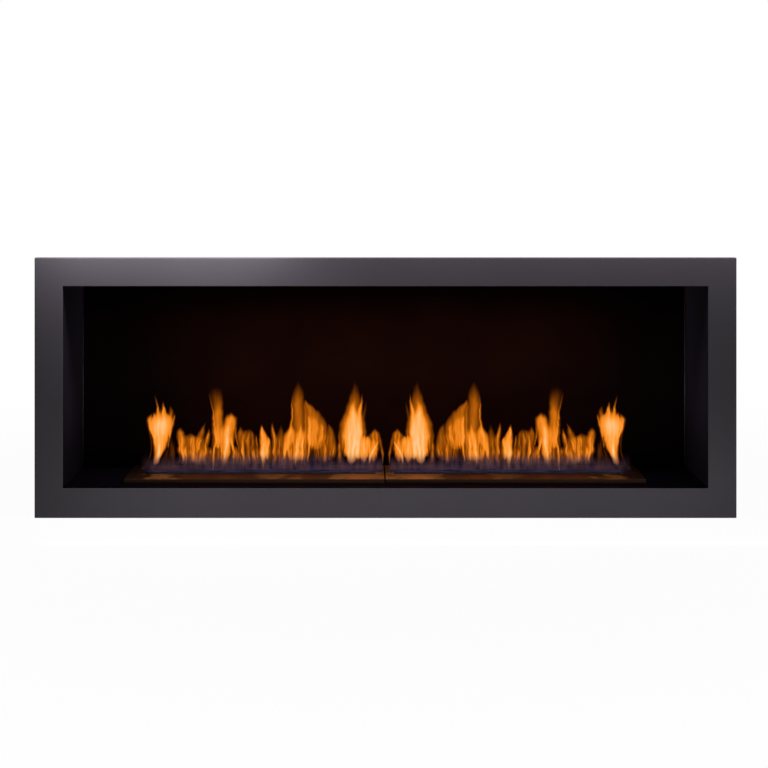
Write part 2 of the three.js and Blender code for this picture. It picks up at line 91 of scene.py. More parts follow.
def colour(code):
    """Linear RGBA of an sRGB hex value."""
    parts = [int(code[i : i + 2], 16) / 255 for i in (0, 2, 4)]
    return [p / 12.92 if p <= 0.04045 else ((p + 0.055) / 1.055) ** 2.4 for p in parts] + [1.0]


def feed(tree, node, inputs):
    """Sets a node's inputs by name or number: to a value, a hex colour, a socket or a node's first output."""
    for key, value in inputs.items():
        if isinstance(value, bpy.types.Node):
            value = next(socket for socket in value.outputs if socket.enabled)
        socket = node.inputs[key]
        if isinstance(value, bpy.types.NodeSocket):
            tree.links.new(value, socket)
        else:
            socket.default_value = colour(value) if socket.type == "RGBA" else value


def add(tree, kind, inputs=None, stops=(), **settings):
    """Adds one node with its settings and links. A shader node's kind is written without its ShaderNode.

    stops are a colour ramp's (position, hex) pairs.
    """
    made = tree.nodes.new("ShaderNode" + kind if tree.type == "SHADER" else kind)
    for name, value in settings.items():
        setattr(made, name, value)
    feed(tree, made, inputs or {})
    for number, (position, code) in enumerate(stops):
        ramp = made.color_ramp.elements
        stop = ramp[number] if number < 2 else ramp.new(position)
        stop.position = position
        stop.color = colour(code)
    return made


def grain(size):
    """Texture scale at which a pattern's features are about this many millimetres across."""
    return 1 / (size * MM)


def start_material(name, coordinates="Object", **constants):
    """A material of one Principled shader with these constants: itself, its tree, shader and coordinates."""
    made = bpy.data.materials.new(name)
    made.use_nodes = True
    tree = made.node_tree
    shader = tree.nodes["Principled BSDF"]
    feed(tree, shader, {socket.replace("_", " "): value for socket, value in constants.items()})
    return made, tree, shader, add(tree, "TexCoord").outputs[coordinates]


# ---------------------------- finishes


def charcoal_powder_coat():
    """Polyester powder, sprayed and baked: an even charcoal with a soft sheen and a faint orange peel."""
    made, tree, shader, at = start_material("charcoal_powder_coat", Specular_IOR_Level=0.12)
    cloud = add(tree, "TexNoise", {"Vector": at, "Scale": grain(220), "Detail": 2.0})
    # Pigment grain is under 0.5 mm; it is drawn 1.6 mm wide, as fine as the photograph's frame can show.
    pigment = add(tree, "TexNoise", {"Vector": at, "Scale": grain(1.6), "Detail": 1.0})
    tone = add(tree, "Mix", {0: cloud, 6: "3d393f", 7: "444046"}, data_type="RGBA")
    inputs = {"Value": pigment, "From Min": 0.3, "From Max": 0.7, "To Min": 0.94, "To Max": 1.06}
    dots = add(tree, "MapRange", inputs)
    speck = add(tree, "VectorMath", {0: tone, "Scale": dots}, operation="SCALE")
    sheen = add(tree, "MapRange", {"Value": cloud, "To Min": 0.4, "To Max": 0.48})
    peel = add(tree, "TexNoise", {"Vector": at, "Scale": grain(2.6), "Detail": 0.0})
    skin = add(tree, "Bump", {"Strength": 0.12, "Distance": 0.2 * MM, "Height": peel})
    feed(tree, shader, {"Base Color": speck, "Roughness": sheen, "Normal": skin})
    return made


def start_silicone_paint(name, shine, low, high):
    """Heat-resistant paint, dry and gritty: a material with its tree, shader, split coordinates and haze."""
    made, tree, shader, at = start_material(name, Specular_IOR_Level=shine)
    haze = add(tree, "TexNoise", {"Vector": at, "Scale": grain(160), "Detail": 3.0})
    grit = add(tree, "TexNoise", {"Vector": at, "Scale": grain(1.8), "Detail": 2.0})
    skin = add(tree, "Bump", {"Strength": 0.15, "Distance": 0.2 * MM, "Height": grit})
    dry = add(tree, "MapRange", {"Value": haze, "To Min": low, "To Max": high})
    feed(tree, shader, {"Roughness": dry, "Normal": skin})
    return made, tree, shader, add(tree, "SeparateXYZ", {0: at}), haze


def stove_black(name, dark, light, shine=0.08):
    """Silicone stove paint: a dry, even black that gives almost no shine back."""
    made, tree, shader, split, haze = start_silicone_paint(name, shine, 0.6, 0.75)
    clean = add(tree, "Mix", {0: haze, 6: dark, 7: light}, data_type="RGBA")
    # The paint is drawn darker low down. Painted shade darkens it towards the front, and painted light
    # brightens it towards the back.
    inputs = {"Value": split.outputs["Z"], "From Min": 0.1, "From Max": 0.3, "To Min": 0.4}
    low_darkening = add(tree, "MapRange", inputs, interpolation_type="SMOOTHSTEP")
    inputs = {"Value": split.outputs["Y"], "From Min": -0.13, "From Max": 0.13, "To Min": 0.5, "To Max": 1.9}
    painted_light_by_depth = add(tree, "MapRange", inputs)
    both = add(tree, "Math", {0: low_darkening, 1: painted_light_by_depth}, operation="MULTIPLY")
    tone = add(tree, "VectorMath", {0: clean, "Scale": both}, operation="SCALE")
    feed(tree, shader, {"Base Color": tone})
    return made


def painted_fire_glow_black():
    """The same paint on the back wall, with the flames' reddish-brown glow painted up its middle, black at
    the sides.
    """
    made, tree, shader, split, haze = start_silicone_paint("painted_fire_glow_black", 0.02, 0.65, 0.8)
    height = add(tree, "MapRange", {"Value": split.outputs["Z"], "From Max": 0.6})
    # These stops are the flames' reddish glow on the wall, painted into its colour.
    stops = [(0.4, "1e0d0a"), (0.6, "2e150f"), (0.73, "3c1a11"), (0.86, "2a130e"), (1.0, "1a0c0b")]
    painted_glow_ramp = add(tree, "ValToRGB", {"Fac": height}, stops)
    across = add(tree, "Math", {0: split.outputs["X"]}, operation="ABSOLUTE")
    inputs = {"Value": across, "From Min": 0.35, "From Max": 0.68, "To Max": 0.85}
    side = add(tree, "MapRange", inputs, interpolation_type="SMOOTHSTEP")
    tone = add(tree, "Mix", {0: side, 6: painted_glow_ramp, 7: "0c0709"}, data_type="RGBA")
    inputs = {"Value": haze, "From Min": 0.3, "From Max": 0.7, "To Min": 0.8, "To Max": 1.2}
    cloud = add(tree, "MapRange", inputs)
    worn = add(tree, "VectorMath", {0: tone, "Scale": cloud}, operation="SCALE")
    feed(tree, shader, {"Base Color": worn})
    return made


def burner_black():
    """Brushed steel under a thin black coat: dark, but it carries the flames' light in a warm blur."""
    # Its shine is tinted orange: a painted warm reflection of the flames in everything it reflects.
    made, tree, shader, at = start_material("burner_black", Specular_IOR_Level=1.0, Specular_Tint="ffa070")
    # The brush runs along the burner. Its lines are finer than 0.3 mm and are drawn 1.2 mm apart.
    stretch = [grain(90), grain(1.2), grain(1.2)]
    along = add(tree, "Mapping", {"Vector": at, "Scale": stretch})
    brush = add(tree, "TexNoise", {"Vector": along, "Scale": 1.0, "Detail": 3.0})
    heat = add(tree, "TexNoise", {"Vector": at, "Scale": grain(45), "Detail": 4.0})
    tone = add(tree, "Mix", {0: heat, 6: "110a07", 7: "180e0a"}, data_type="RGBA")
    gloss = add(tree, "MapRange", {"Value": brush, "To Min": 0.45, "To Max": 0.57})
    lines = add(tree, "Bump", {"Strength": 0.7, "Distance": 0.6 * MM, "Height": brush})
    # Under the tall flames the coat has burnt through to straw-coloured steel, in ragged patches. Their
    # places and straw colour are also a painted warm reflection of the flames.
    across = add(tree, "SeparateXYZ", {0: at}).outputs["X"]
    apart = add(tree, "Math", {0: across, 1: FLAME_MIRROR * MM}, operation="SUBTRACT")
    apart = add(tree, "Math", {0: apart}, operation="ABSOLUTE")
    # The noise moves the patches' edges by up to half of this either way.
    wander = 220 * MM
    ragged = add(tree, "Math", {0: heat, 1: wander, 2: apart}, operation="MULTIPLY_ADD")
    inputs = {"Value": ragged, "From Min": wander / 2, "From Max": BURNT_AND_REFLECTION_REACH + wander / 2}
    reach = add(tree, "MapRange", inputs)
    burnt_and_reflection = add(tree, "ValToRGB", {"Fac": reach}, BURNT_AND_REFLECTION_SPOTS)
    inputs = {"Value": heat, "From Min": 0.3, "From Max": 0.7, "To Min": 0.5, "To Max": 1.1}
    patchy = add(tree, "MapRange", inputs)
    bare_and_reflection = add(tree, "Math", {0: burnt_and_reflection, 1: patchy}, operation="MULTIPLY", use_clamp=True)
    skin = add(tree, "Mix", {0: bare_and_reflection, 6: tone, 7: "bd7c44"}, data_type="RGBA")
    feed(tree, shader, {"Base Color": skin, "Metallic": bare_and_reflection, "Roughness": gloss, "Normal": lines})
    return made


def brushed_stainless():
    """Stainless sheet, belt-ground along its length: bright grey with long fine lines."""
    made, tree, shader, at = start_material("brushed_stainless", Metallic=1.0)
    stretch = [grain(60), grain(1.0), grain(1.0)]
    along = add(tree, "Mapping", {"Vector": at, "Scale": stretch})
    brush = add(tree, "TexNoise", {"Vector": along, "Scale": 1.0, "Detail": 4.0})
    tone = add(tree, "Mix", {0: brush, 6: "a19d97", 7: "bab6b0"}, data_type="RGBA")
    gloss = add(tree, "MapRange", {"Value": brush, "To Min": 0.26, "To Max": 0.42})
    lines = add(tree, "Bump", {"Strength": 0.1, "Distance": 0.1 * MM, "Height": brush})
    feed(tree, shader, {"Base Color": tone, "Roughness": gloss, "Normal": lines})
    return made


def galvanised_sheet():
    """Hot-dip galvanised steel: a grey patchwork of zinc crystals, each with its own shade and gloss."""
    made, tree, shader, at = start_material("galvanised_sheet", Metallic=1.0)
    warp = add(tree, "TexNoise", {"Vector": at, "Scale": grain(14), "Detail": 2.0})
    inputs = {0: warp.outputs["Color"], 1: (4 * MM,) * 3, 2: at}
    bent = add(tree, "VectorMath", inputs, operation="MULTIPLY_ADD")
    crystal = add(tree, "TexVoronoi", {"Vector": bent, "Scale": grain(12)})
    facet = crystal.outputs["Color"]
    tone = add(tree, "Mix", {0: facet, 6: "8f9396", 7: "b4b7b9"}, data_type="RGBA")
    gloss = add(tree, "MapRange", {"Value": facet, "To Min": 0.36, "To Max": 0.54})
    frost = add(tree, "TexNoise", {"Vector": at, "Scale": grain(1.5), "Detail": 2.0})
    skin = add(tree, "Bump", {"Strength": 0.06, "Distance": 0.2 * MM, "Height": frost})
    feed(tree, shader, {"Base Color": tone, "Roughness": gloss, "Normal": skin})
    return made


def ceramic_fibre():
    """Needled ceramic fibre blanket: off-white and fluffy, with strands lying every way."""
    made, tree, shader, at = start_material("ceramic_fibre", Roughness=1.0, Specular_IOR_Level=0.2)
    fibres = []
    for turn in (0.4, 1.7, 2.6):
        inputs = {"Vector": at, "Rotation": (0.0, 0.0, turn), "Scale": [grain(14), grain(0.9), grain(3)]}
        lie = add(tree, "Mapping", inputs)
        fibres.append(add(tree, "TexNoise", {"Vector": lie, "Scale": 1.0, "Detail": 3.0}))
    pair = add(tree, "Math", {0: fibres[0], 1: fibres[1]}, operation="MAXIMUM")
    felt = add(tree, "Math", {0: pair, 1: fibres[2]}, operation="MAXIMUM")
    shade = add(tree, "MapRange", {"Value": felt, "From Min": 0.4, "From Max": 0.8})
    tone = add(tree, "Mix", {0: shade, 6: "b9b2a6", 7: "efebe3"}, data_type="RGBA")
    fluff = add(tree, "Bump", {"Strength": 0.7, "Distance": 1 * MM, "Height": felt})
    feed(tree, shader, {"Base Color": tone, "Normal": fluff})
    return made


def silicate_board():
    """Pressed calcium silicate board: chalky, cream grey, with specks and small pores."""
    made, tree, shader, at = start_material("silicate_board", Roughness=0.95, Specular_IOR_Level=0.2)
    cloud = add(tree, "TexNoise", {"Vector": at, "Scale": grain(50), "Detail": 4.0})
    tone = add(tree, "Mix", {0: cloud, 6: "c3bdad", 7: "d8d3c5"}, data_type="RGBA")
    pores = add(tree, "TexVoronoi", {"Vector": at, "Scale": grain(4)})
    depth = add(tree, "MapRange", {"Value": pores, "From Max": 0.35, "To Min": 0.72, "To Max": 1.0})
    speck = add(tree, "VectorMath", {0: tone, "Scale": depth}, operation="SCALE")
    skin = add(tree, "Bump", {"Strength": 0.4, "Distance": 0.5 * MM, "Height": depth})
    feed(tree, shader, {"Base Color": speck, "Normal": skin})
    return made


def plated_steel():
    """Zinc-plated screws and rivets: bright, a little blue, with a thin yellowish bloom."""
    made, tree, shader, at = start_material("plated_steel", Metallic=1.0, Roughness=0.32)
    bloom = add(tree, "TexNoise", {"Vector": at, "Scale": grain(5), "Detail": 2.0})
    tone = add(tree, "Mix", {0: bloom, 6: "a9adb2", 7: "c6c3b6"}, data_type="RGBA")
    feed(tree, shader, {"Base Color": tone})
    return made


def start_fire(name):
    """A material that only glows: itself, its tree, shader, flow coordinates and the mesh's own values."""
    black = {"Base_Color": "000000", "Roughness": 1.0, "Specular_IOR_Level": 0.0}
    made, tree, shader, flow = start_material(name, "UV", Emission_Strength=1.0, **black)
    readers = {label: add(tree, "Attribute", attribute_name=label) for label in FIRE_VALUES}
    own = {label: reader.outputs["Fac"] for label, reader in readers.items()}
    return made, tree, shader, flow, own


def ethanol_flame():
    """Burning ethanol: clear orange with near-white cores and brown tips, streaked along the draught."""
    made, tree, shader, flow, own = start_fire("ethanol_flame")
    drawn_out = add(tree, "Mapping", {"Vector": flow, "Scale": [grain(6), grain(64), 1.0]})
    inputs = {"Vector": drawn_out, "Scale": 1.0, "Detail": 2.0, "Roughness": 0.6}
    streak = add(tree, "TexNoise", inputs)
    inputs = {"Value": streak, "From Min": 0.3, "From Max": 0.7, "To Min": -1.0, "To Max": 1.0}
    swing = add(tree, "MapRange", inputs)
    share = add(tree, "Math", {0: swing, 1: own["flicker"]}, operation="MULTIPLY")
    inputs = {0: share, 1: own["warmth"], 2: own["warmth"]}
    heat = add(tree, "Math", inputs, operation="MULTIPLY_ADD")
    stops = [(0.0, "a85206"), (0.4, "c06208"), (0.56, "dc7612"), (0.68, "fa8c26")]
    stops += [(0.8, "ff9a34"), (0.9, "ffb05a"), (1.0, "ffc88c")]
    hue = add(tree, "ValToRGB", {"Fac": heat}, stops)
    tone = add(tree, "Mix", {0: own["cool"], 6: hue, 7: "70504e"}, data_type="RGBA")
    # From this heat up the fire hides what is behind it. Its cool foot is thinner.
    solid = add(tree, "MapRange", {"Value": heat, "From Max": 0.58})
    full = add(tree, "Math", {0: solid, 1: 1.8}, operation="POWER")
    thin = add(tree, "MapRange", {"Value": own["cool"], "To Min": 1.0, "To Max": 0.6})
    cover = add(tree, "Math", {0: full, 1: thin}, operation="MULTIPLY")
    # The fire is seen through its front and its back, so each lets through the root of what both do.
    clear = add(tree, "Math", {0: 1.0, 1: cover}, operation="SUBTRACT")
    root = add(tree, "Math", {0: clear}, operation="SQRT")
    alpha = add(tree, "Math", {0: 1.0, 1: root}, operation="SUBTRACT")
    feed(tree, shader, {"Emission Color": tone, "Alpha": alpha})
    return made


def blue_flame():
    """The cool foot of the fire, just over the fuel: dim violet blue, with mauve where the flames stand."""
    made, tree, shader, flow, own = start_fire("blue_flame")
    along = add(tree, "Mapping", {"Vector": flow, "Scale": [grain(60), grain(6), 1.0]})
    bands = add(tree, "TexNoise", {"Vector": along, "Scale": 1.0, "Detail": 2.0})
    depth = add(tree, "MapRange", {"Value": bands, "From Min": 0.35, "From Max": 0.65})
    upright = add(tree, "Mapping", {"Vector": flow, "Scale": [grain(14), grain(110), 1.0]})
    columns = add(tree, "TexNoise", {"Vector": upright, "Scale": 1.0, "Detail": 2.0})
    inputs = {"Value": columns, "From Min": 0.35, "From Max": 0.65, "To Max": 0.8}
    mauve = add(tree, "MapRange", inputs)
    blue = add(tree, "Mix", {0: depth, 6: "151020", 7: "352d46"}, data_type="RGBA")
    share = add(tree, "Math", {0: mauve, 1: own["warmth"]}, operation="MULTIPLY")
    tone = add(tree, "Mix", {0: share, 6: blue, 7: "644244"}, data_type="RGBA")
    feed(tree, shader, {"Emission Color": tone, "Alpha": own["flicker"]})
    return made


finishes = {
    "surround_coat": charcoal_powder_coat(),
    "liner_coat": stove_black("stove_black", "1b161f", "27222d"),
    "zinc_sheet": galvanised_sheet(),
    "burner_steel": burner_black(),
    "tank_steel": brushed_stainless(),
    "ceramic_wool": ceramic_fibre(),
    "insulation_board": silicate_board(),
}
slot_of = {part["node"]: part["material_slot"] for part in frame["record"]["subparts"]}
for name, slot in slot_of.items():
    coat = nodes[name].data.materials
    coat.clear()
    coat.append(finishes[slot])

# ---------------------------- pieces


def place(mesh, name, material, body, stands_for=()):
    """Makes a mesh a piece of the scene that rides on a body, and stands for these CAD nodes."""
    if mesh.materials:
        mesh.materials[0] = material
    else:
        mesh.materials.append(material)
    piece = bpy.data.objects.new(name, mesh)
    scene.collection.objects.link(piece)
    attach(piece, body)
    if stands_for:
        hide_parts(*stands_for)
    return piece


def form_of(mesh):
    """The mesh as a form to work on, with points that lie together made one."""
    form = bmesh.new()
    form.from_mesh(mesh)
    bmesh.ops.remove_doubles(form, verts=form.verts, dist=0.001 * MM)
    return form


def write_form(form, mesh):
    """The form written back to the mesh, its faces smooth."""
    for face in form.faces:
        face.smooth = True
    form.to_mesh(mesh)
    form.free()
    return mesh


def closed_mesh(name, points, faces):
    """A smooth mesh from its points and faces, with every face turned outwards."""
    mesh = bpy.data.meshes.new(name)
    mesh.from_pydata(points, [], faces)
    form = form_of(mesh)
    bmesh.ops.recalc_face_normals(form, faces=form.faces)
    return write_form(form, mesh)


def loop_rectangle(left, right, bottom, top, y, radius, steps=4):
    """Points round a rectangle in the XZ plane at y, its corners rounded."""
    centres = [(right, top, 0), (left, top, 1), (left, bottom, 2), (right, bottom, 3)]
    points = []
    for x, z, quarter in centres:
        inward_x = -1 if x == right else 1
        inward_z = -1 if z == top else 1
        for step in range(steps + 1):
            angle = math.pi / 2 * (quarter + step / steps)
            points.append(
                (x + radius * (inward_x + math.cos(angle)), y, z + radius * (inward_z + math.sin(angle)))
            )
    return points


def bend_round(steps):
    """Points of a quarter bend of radius one: how far in from the side and behind the front each is."""
    turns = [math.pi / 2 * step / steps for step in range(steps + 1)]
    return [(1 - math.cos(turn), 1 - math.sin(turn)) for turn in turns]


def swept(name, loops):
    """A closed body whose section runs through these loops, the last one joining the first."""
    size = len(loops[0])
    points = [point for loop in loops for point in loop]
    faces = []
    for index in range(len(loops)):
        here, ahead = index * size, (index + 1) % len(loops) * size
        for step in range(size):
            turn = (step + 1) % size
            faces.append((here + step, here + turn, ahead + turn, ahead + step))
    return closed_mesh(name, points, faces)


# ---------------------------- surround


def make_surround():
    """The flat plate with its edge folded back: a 2.5 mm bend outside, a broken edge round the opening."""
    low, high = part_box("front_surround")
    # Behind the surround the liner's side walls turn outwards, in flanges this wide.
    flange = 28 * MM
    opening = [
        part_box("liner_left_side")[0].x + flange,
        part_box("liner_right_side")[1].x - flange,
        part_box("hearth_floor")[1].z,
        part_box("liner_ceiling")[0].z,
    ]
    sheet, bend, edge = 3 * MM, 2.5 * MM, 0.7 * MM
    back = low.y + sheet

    def outer(inset, y):
        corner = max(2 * MM - inset, 0.2 * MM)
        return loop_rectangle(low.x + inset, high.x - inset, inset, high.z - inset, y, corner)

    def inner(outset, y):
        left, right, bottom, top = opening
        corner = 0.5 * MM + outset
        return loop_rectangle(left - outset, right + outset, bottom - outset, top + outset, y, corner)

    loops = [outer(0.4 * MM, high.y), outer(0, high.y - 0.4 * MM), outer(0, low.y + 2 * bend)]
    loops += [outer(bend * inwards, low.y + bend * behind) for inwards, behind in bend_round(4)]
    loops += [outer(bend + 1 * MM, low.y), inner(edge + 1 * MM, low.y)]
    loops += [inner(edge * behind, low.y + edge * inwards) for inwards, behind in bend_round(4)]
    loops += [inner(0, back - 0.3 * MM), inner(0.3 * MM, back), inner(2 * MM, back)]
    loops += [outer(sheet + 1 * MM, back), outer(sheet, back)]
    loops += [outer(sheet, back + 1 * MM), outer(sheet, high.y)]
    return swept("surround_plate", loops)


place(make_surround(), "surround_plate", finishes["surround_coat"], "firebox", ["front_surround"])

# ---------------------------- folded sheets


def make_back_wall():
    """Back wall of the firebox with its side flanges folded to the rear round a 4 mm bend."""
    low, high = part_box("liner_back")
    sheet, bend = 2 * MM, 4 * MM

    def path(inset):
        radius = bend - inset
        left, right, front = low.x + inset, high.x - inset, low.y + inset
        arc = bend_round(6)
        points = [(left, high.y)]
        points += [(left + radius * inwards, front + radius * behind) for inwards, behind in arc]
        points += [(left + radius + 1 * MM, front), (right - radius - 1 * MM, front)]
        points += [(right - radius * inwards, front + radius * behind) for inwards, behind in arc[::-1]]
        return points + [(right, high.y)]

    section = path(0) + path(sheet)[::-1]
    size = len(section)
    points = [(x, y, z) for z in (low.z, high.z) for x, y in section]
    faces = [(i, (i + 1) % size, size + (i + 1) % size, size + i) for i in range(size)]
    half = size // 2
    for start in (0, size):
        end = start + size - 1
        faces += [(start + i, start + i + 1, end - 1 - i, end - i) for i in range(half - 1)]
    mesh = closed_mesh("back_wall", points, faces)
    # The first slot is the wall's own finish. The bends get a paler paint: a painted highlight along the back
    # corners.
    mesh.materials.append(None)
    mesh.materials.append(stove_black("painted_highlight_stove_black", "5a5457", "686266", shine=0.3))
    for face in mesh.polygons:
        face.material_index = abs(face.normal.x) > 0.2
    return mesh


def make_rounded(node, name, radius):
    """A CAD node's own form with every edge rounded."""
    mesh = nodes[node].data.copy()
    mesh.name = name
    form = form_of(mesh)
    bmesh.ops.dissolve_limit(form, angle_limit=math.radians(1), verts=form.verts, edges=form.edges)
    body = nodes[node]["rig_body"]
    piece = place(write_form(form, mesh), name, finishes[slot_of[node]], body, [node])
    edge = piece.modifiers.new("edge_radius", "BEVEL")
    edge.width, edge.segments, edge.harden_normals = radius, 2, True
    edge.limit_method, edge.angle_limit = "ANGLE", math.radians(40)
    return piece


place(make_back_wall(), "back_wall", painted_fire_glow_black(), "firebox", ["liner_back"])
for side in ("left", "right"):
    plate = make_rounded(f"{side}_burner_top_plate", f"{side}_burner_plate", 0.9 * MM)
    # The plate's sides get a warm dark brown: the flames' warm light, painted onto them.
    plate.data.materials.append(stove_black("matt_burner_black", "513526", "5e4030", shine=0.1))
    for face in plate.data.polygons:
        face.material_index = abs(face.normal.z) < 0.5
    make_rounded(f"{side}_burner_damper", f"{side}_burner_damper_plate", 0.4 * MM)
    make_rounded(f"{side}_burner_fuel_tank", f"{side}_burner_tank", 0.6 * MM)
hearth = make_rounded("hearth_floor", "hearth_plate", 0.6 * MM)
hearth.data.materials[0] = stove_black("sooty_stove_black", "0d0913", "150e17", shine=0.02)

# ---------------------------- ceramic wool


def make_wool(node, name):
    """The blanket cut to fit its tank: lumpy on top, its edges pulled in and frayed."""
    low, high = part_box(node)
    middle, half = (low + high) / 2, (high - low) / 2
    pitch, rows = 6 * MM, 4
    # The size of the lumps and of the tufts on them, and how far both and the frayed edges sink in.
    lumps, tufts, sunk, frayed = 16 * MM, 5 * MM, 0.8 * MM, 1.8 * MM
    counts = [max(2, round(2 * half.x / pitch)), max(2, round(2 * half.y / pitch)), rows]
    form = bmesh.new()
    found = {}

    def corner(i, j, k):
        if (i, j, k) not in found:
            share = Vector((i / counts[0], j / counts[1], k / counts[2])) * 2 - Vector((1, 1, 1))
            point = middle + Vector([share[a] * half[a] for a in range(3)])
            edges = [abs(value) ** 24 for value in share]
            worn = sum(sorted(edges)[1:]) - max(edges)
            lump = 0.5 + 0.5 * noise.noise(point / lumps) + 0.2 * noise.noise(point / tufts)
            pull = sunk * max(0, min(1, lump)) + frayed * max(0, worn)
            for axis in range(3):
                if abs(share[axis]) == 1:
                    point[axis] -= math.copysign(pull, share[axis])
            found[i, j, k] = form.verts.new(point)
        return found[i, j, k]

    for axis in range(3):
        u, v = (axis + 1) % 3, (axis + 2) % 3
        for end in (0, counts[axis]):
            for i in range(counts[u]):
                for j in range(counts[v]):
                    ring = []
                    for du, dv in ((0, 0), (1, 0), (1, 1), (0, 1)):
                        cell = [0, 0, 0]
                        cell[axis], cell[u], cell[v] = end, i + du, j + dv
                        ring.append(corner(*cell))
                    form.faces.new(ring)
    bmesh.ops.recalc_face_normals(form, faces=form.faces)
    return write_form(form, bpy.data.meshes.new(name))


for side in ("left", "right"):
    wool = f"{side}_burner_ceramic_wool"
    blanket = make_wool(wool, f"{side}_wool")
    place(blanket, blanket.name, finishes["ceramic_wool"], f"{side}_burner", [wool])

# ---------------------------- screws and rivets

# Each turned shape has a number of sides, a first radius, and its steps: how far up each next ring lies, and
# that ring's radius. All in millimetres.
RIVET = [(20, 4.8, [(0.6, 4.8), (0.6, 4.0), (0.4, 2.6), (0.0, 1.3), (-0.8, 1.2)])]
HEX_SCREW = [(24, 6.0, [(0.9, 6.0), (0.2, 5.6)]), (6, 4.6, [(4.0, 4.6), (0.5, 4.1)])]


def fixing_tree(name, shapes, material):
    """Node tree that puts a turned head on every point of a mesh, facing the point's own direction."""
    tree = bpy.data.node_groups.new(name, "GeometryNodeTree")
    for label, kind in (("Points", "Geometry"), ("Size", "Float"), ("Turn", "Float")):
        tree.interface.new_socket(label, in_out="INPUT", socket_type="NodeSocket" + kind)
    tree.interface.new_socket("Heads", in_out="OUTPUT", socket_type="NodeSocketGeometry")
    given = add(tree, "NodeGroupInput")
    solids = []
    for sides, radius, steps in shapes:
        inputs = {"Vertices": sides, "Radius": radius * MM}
        disc = add(tree, "GeometryNodeMeshCircle", inputs, fill_type="NGON")
        foot = add(tree, "GeometryNodeFlipFaces", {"Mesh": disc})
        rising, top = disc, None
        for lift, ring in steps:
            inputs = {"Mesh": rising, "Offset": (0, 0, 1), "Offset Scale": lift * MM, "Individual": False}
            if top:
                inputs["Selection"] = top
            raised = add(tree, "GeometryNodeExtrudeMesh", inputs, mode="FACES")
            top = raised.outputs["Top"]
            inputs = {"Geometry": raised, "Selection": top, "Scale": ring / radius}
            rising, radius = add(tree, "GeometryNodeScaleElements", inputs), ring
        both = add(tree, "GeometryNodeJoinGeometry", {0: foot})
        tree.links.new(rising.outputs[0], both.inputs[0])
        solids.append(add(tree, "GeometryNodeMergeByDistance", {"Geometry": both, "Distance": 0.01 * MM}))
    head = add(tree, "GeometryNodeJoinGeometry")
    for solid in solids:
        tree.links.new(solid.outputs[0], head.inputs[0])
    facing = add(tree, "GeometryNodeInputNamedAttribute", {"Name": "facing"}, data_type="FLOAT_VECTOR")
    aim = add(tree, "FunctionNodeAlignRotationToVector", {"Vector": facing}, axis="Z")
    inputs = {"Min": 0.0, "Max": given.outputs["Turn"], "Seed": 7}
    turn = add(tree, "FunctionNodeRandomValue", inputs, data_type="FLOAT")
    spin = add(tree, "FunctionNodeAxisAngleToRotation", {"Axis": (0, 0, 1), "Angle": turn.outputs[1]})
    set_round = add(tree, "FunctionNodeRotateRotation", {0: aim, 1: spin}, rotation_space="LOCAL")
    inputs = {"Points": given.outputs["Points"], "Instance": head, "Rotation": set_round}
    inputs["Scale"] = given.outputs["Size"]
    spotted = add(tree, "GeometryNodeInstanceOnPoints", inputs)
    real = add(tree, "GeometryNodeRealizeInstances", {"Geometry": spotted})
    coated = add(tree, "GeometryNodeSetMaterial", {"Geometry": real, "Material": material})
    add(tree, "NodeGroupOutput", {0: coated})
    return tree


def make_fixings(name, body, tree, spots, turn):
    """One mesh of heads at these (point in millimetres, direction) spots."""
    mesh = bpy.data.meshes.new(name)
    mesh.from_pydata([Vector(point) * MM for point, _ in spots], [], [])
    facing = mesh.attributes.new("facing", "FLOAT_VECTOR", "POINT")
    for item, (_, direction) in zip(facing.data, spots):
        item.vector = direction
    carrier = bpy.data.objects.new(name + "_points", mesh)
    scene.collection.objects.link(carrier)
    heads = carrier.modifiers.new("heads", "NODES")
    heads.node_group = tree
    values = {"Size": 1.0, "Turn": turn}
    for item in tree.interface.items_tree:
        if item.name in values:
            heads[item.identifier] = values[item.name]
    evaluated = carrier.evaluated_get(bpy.context.evaluated_depsgraph_get())
    made = bpy.data.meshes.new_from_object(evaluated)
    bpy.data.objects.remove(carrier)
    made.name = name
    return place(made, name, plated, body)


def span(start, end, count):
    """Evenly spread values from start to end."""
    return [start + (end - start) * step / (count - 1) for step in range(count)]


plated = plated_steel()
rivet = fixing_tree("blind_rivet", RIVET, plated)
screw = fixing_tree("flanged_screw", HEX_SCREW, plated)

# Where the heads sit, in millimetres: the casing's outer faces and its front and rear seams.
CASING_SIDE, CASING_BASE, CASING_TOP, CASING_BACK = 800, 25, 587, 148.2
SEAMS, SEAM_ROW, SEAM_COLUMN = (-136, 142), span(-780, 780, 14), span(45, 567, 7)
BACK_EDGES, BACK_ROW = (52, 560), span(-640, 640, 9)
BACK_POSTS, BACK_COLUMN = (350, 765), span(110, 500, 5)
# The brackets on the casing's sides. The rear seams have rivets only in the free stretch between them.
BRACKET_FACE, BRACKET_DEPTHS, BRACKET_HEIGHTS, SCREW_STEPS = 802.3, (-129, 128), (95, 517), (-14, 14)
FREE_LOW, FREE_HIGH = 150, 460
rivets, screws = [], []
for side in (-1, 1):
    for y in SEAMS:
        heights = [z for z in SEAM_COLUMN if y < 0 or FREE_LOW < z < FREE_HIGH]
        rivets += [((side * CASING_SIDE, y, z), (side, 0, 0)) for z in heights]
    rivets += [((side * x, CASING_BACK, z), (0, 1, 0)) for x in BACK_POSTS for z in BACK_COLUMN]
    for z in BRACKET_HEIGHTS:
        for y in BRACKET_DEPTHS:
            screws += [((side * BRACKET_FACE, y, z + step), (side, 0, 0)) for step in SCREW_STEPS]
for y in SEAMS:
    rivets += [((x, y, CASING_TOP), (0, 0, 1)) for x in SEAM_ROW]
    rivets += [((x, y, CASING_BASE), (0, 0, -1)) for x in SEAM_ROW]
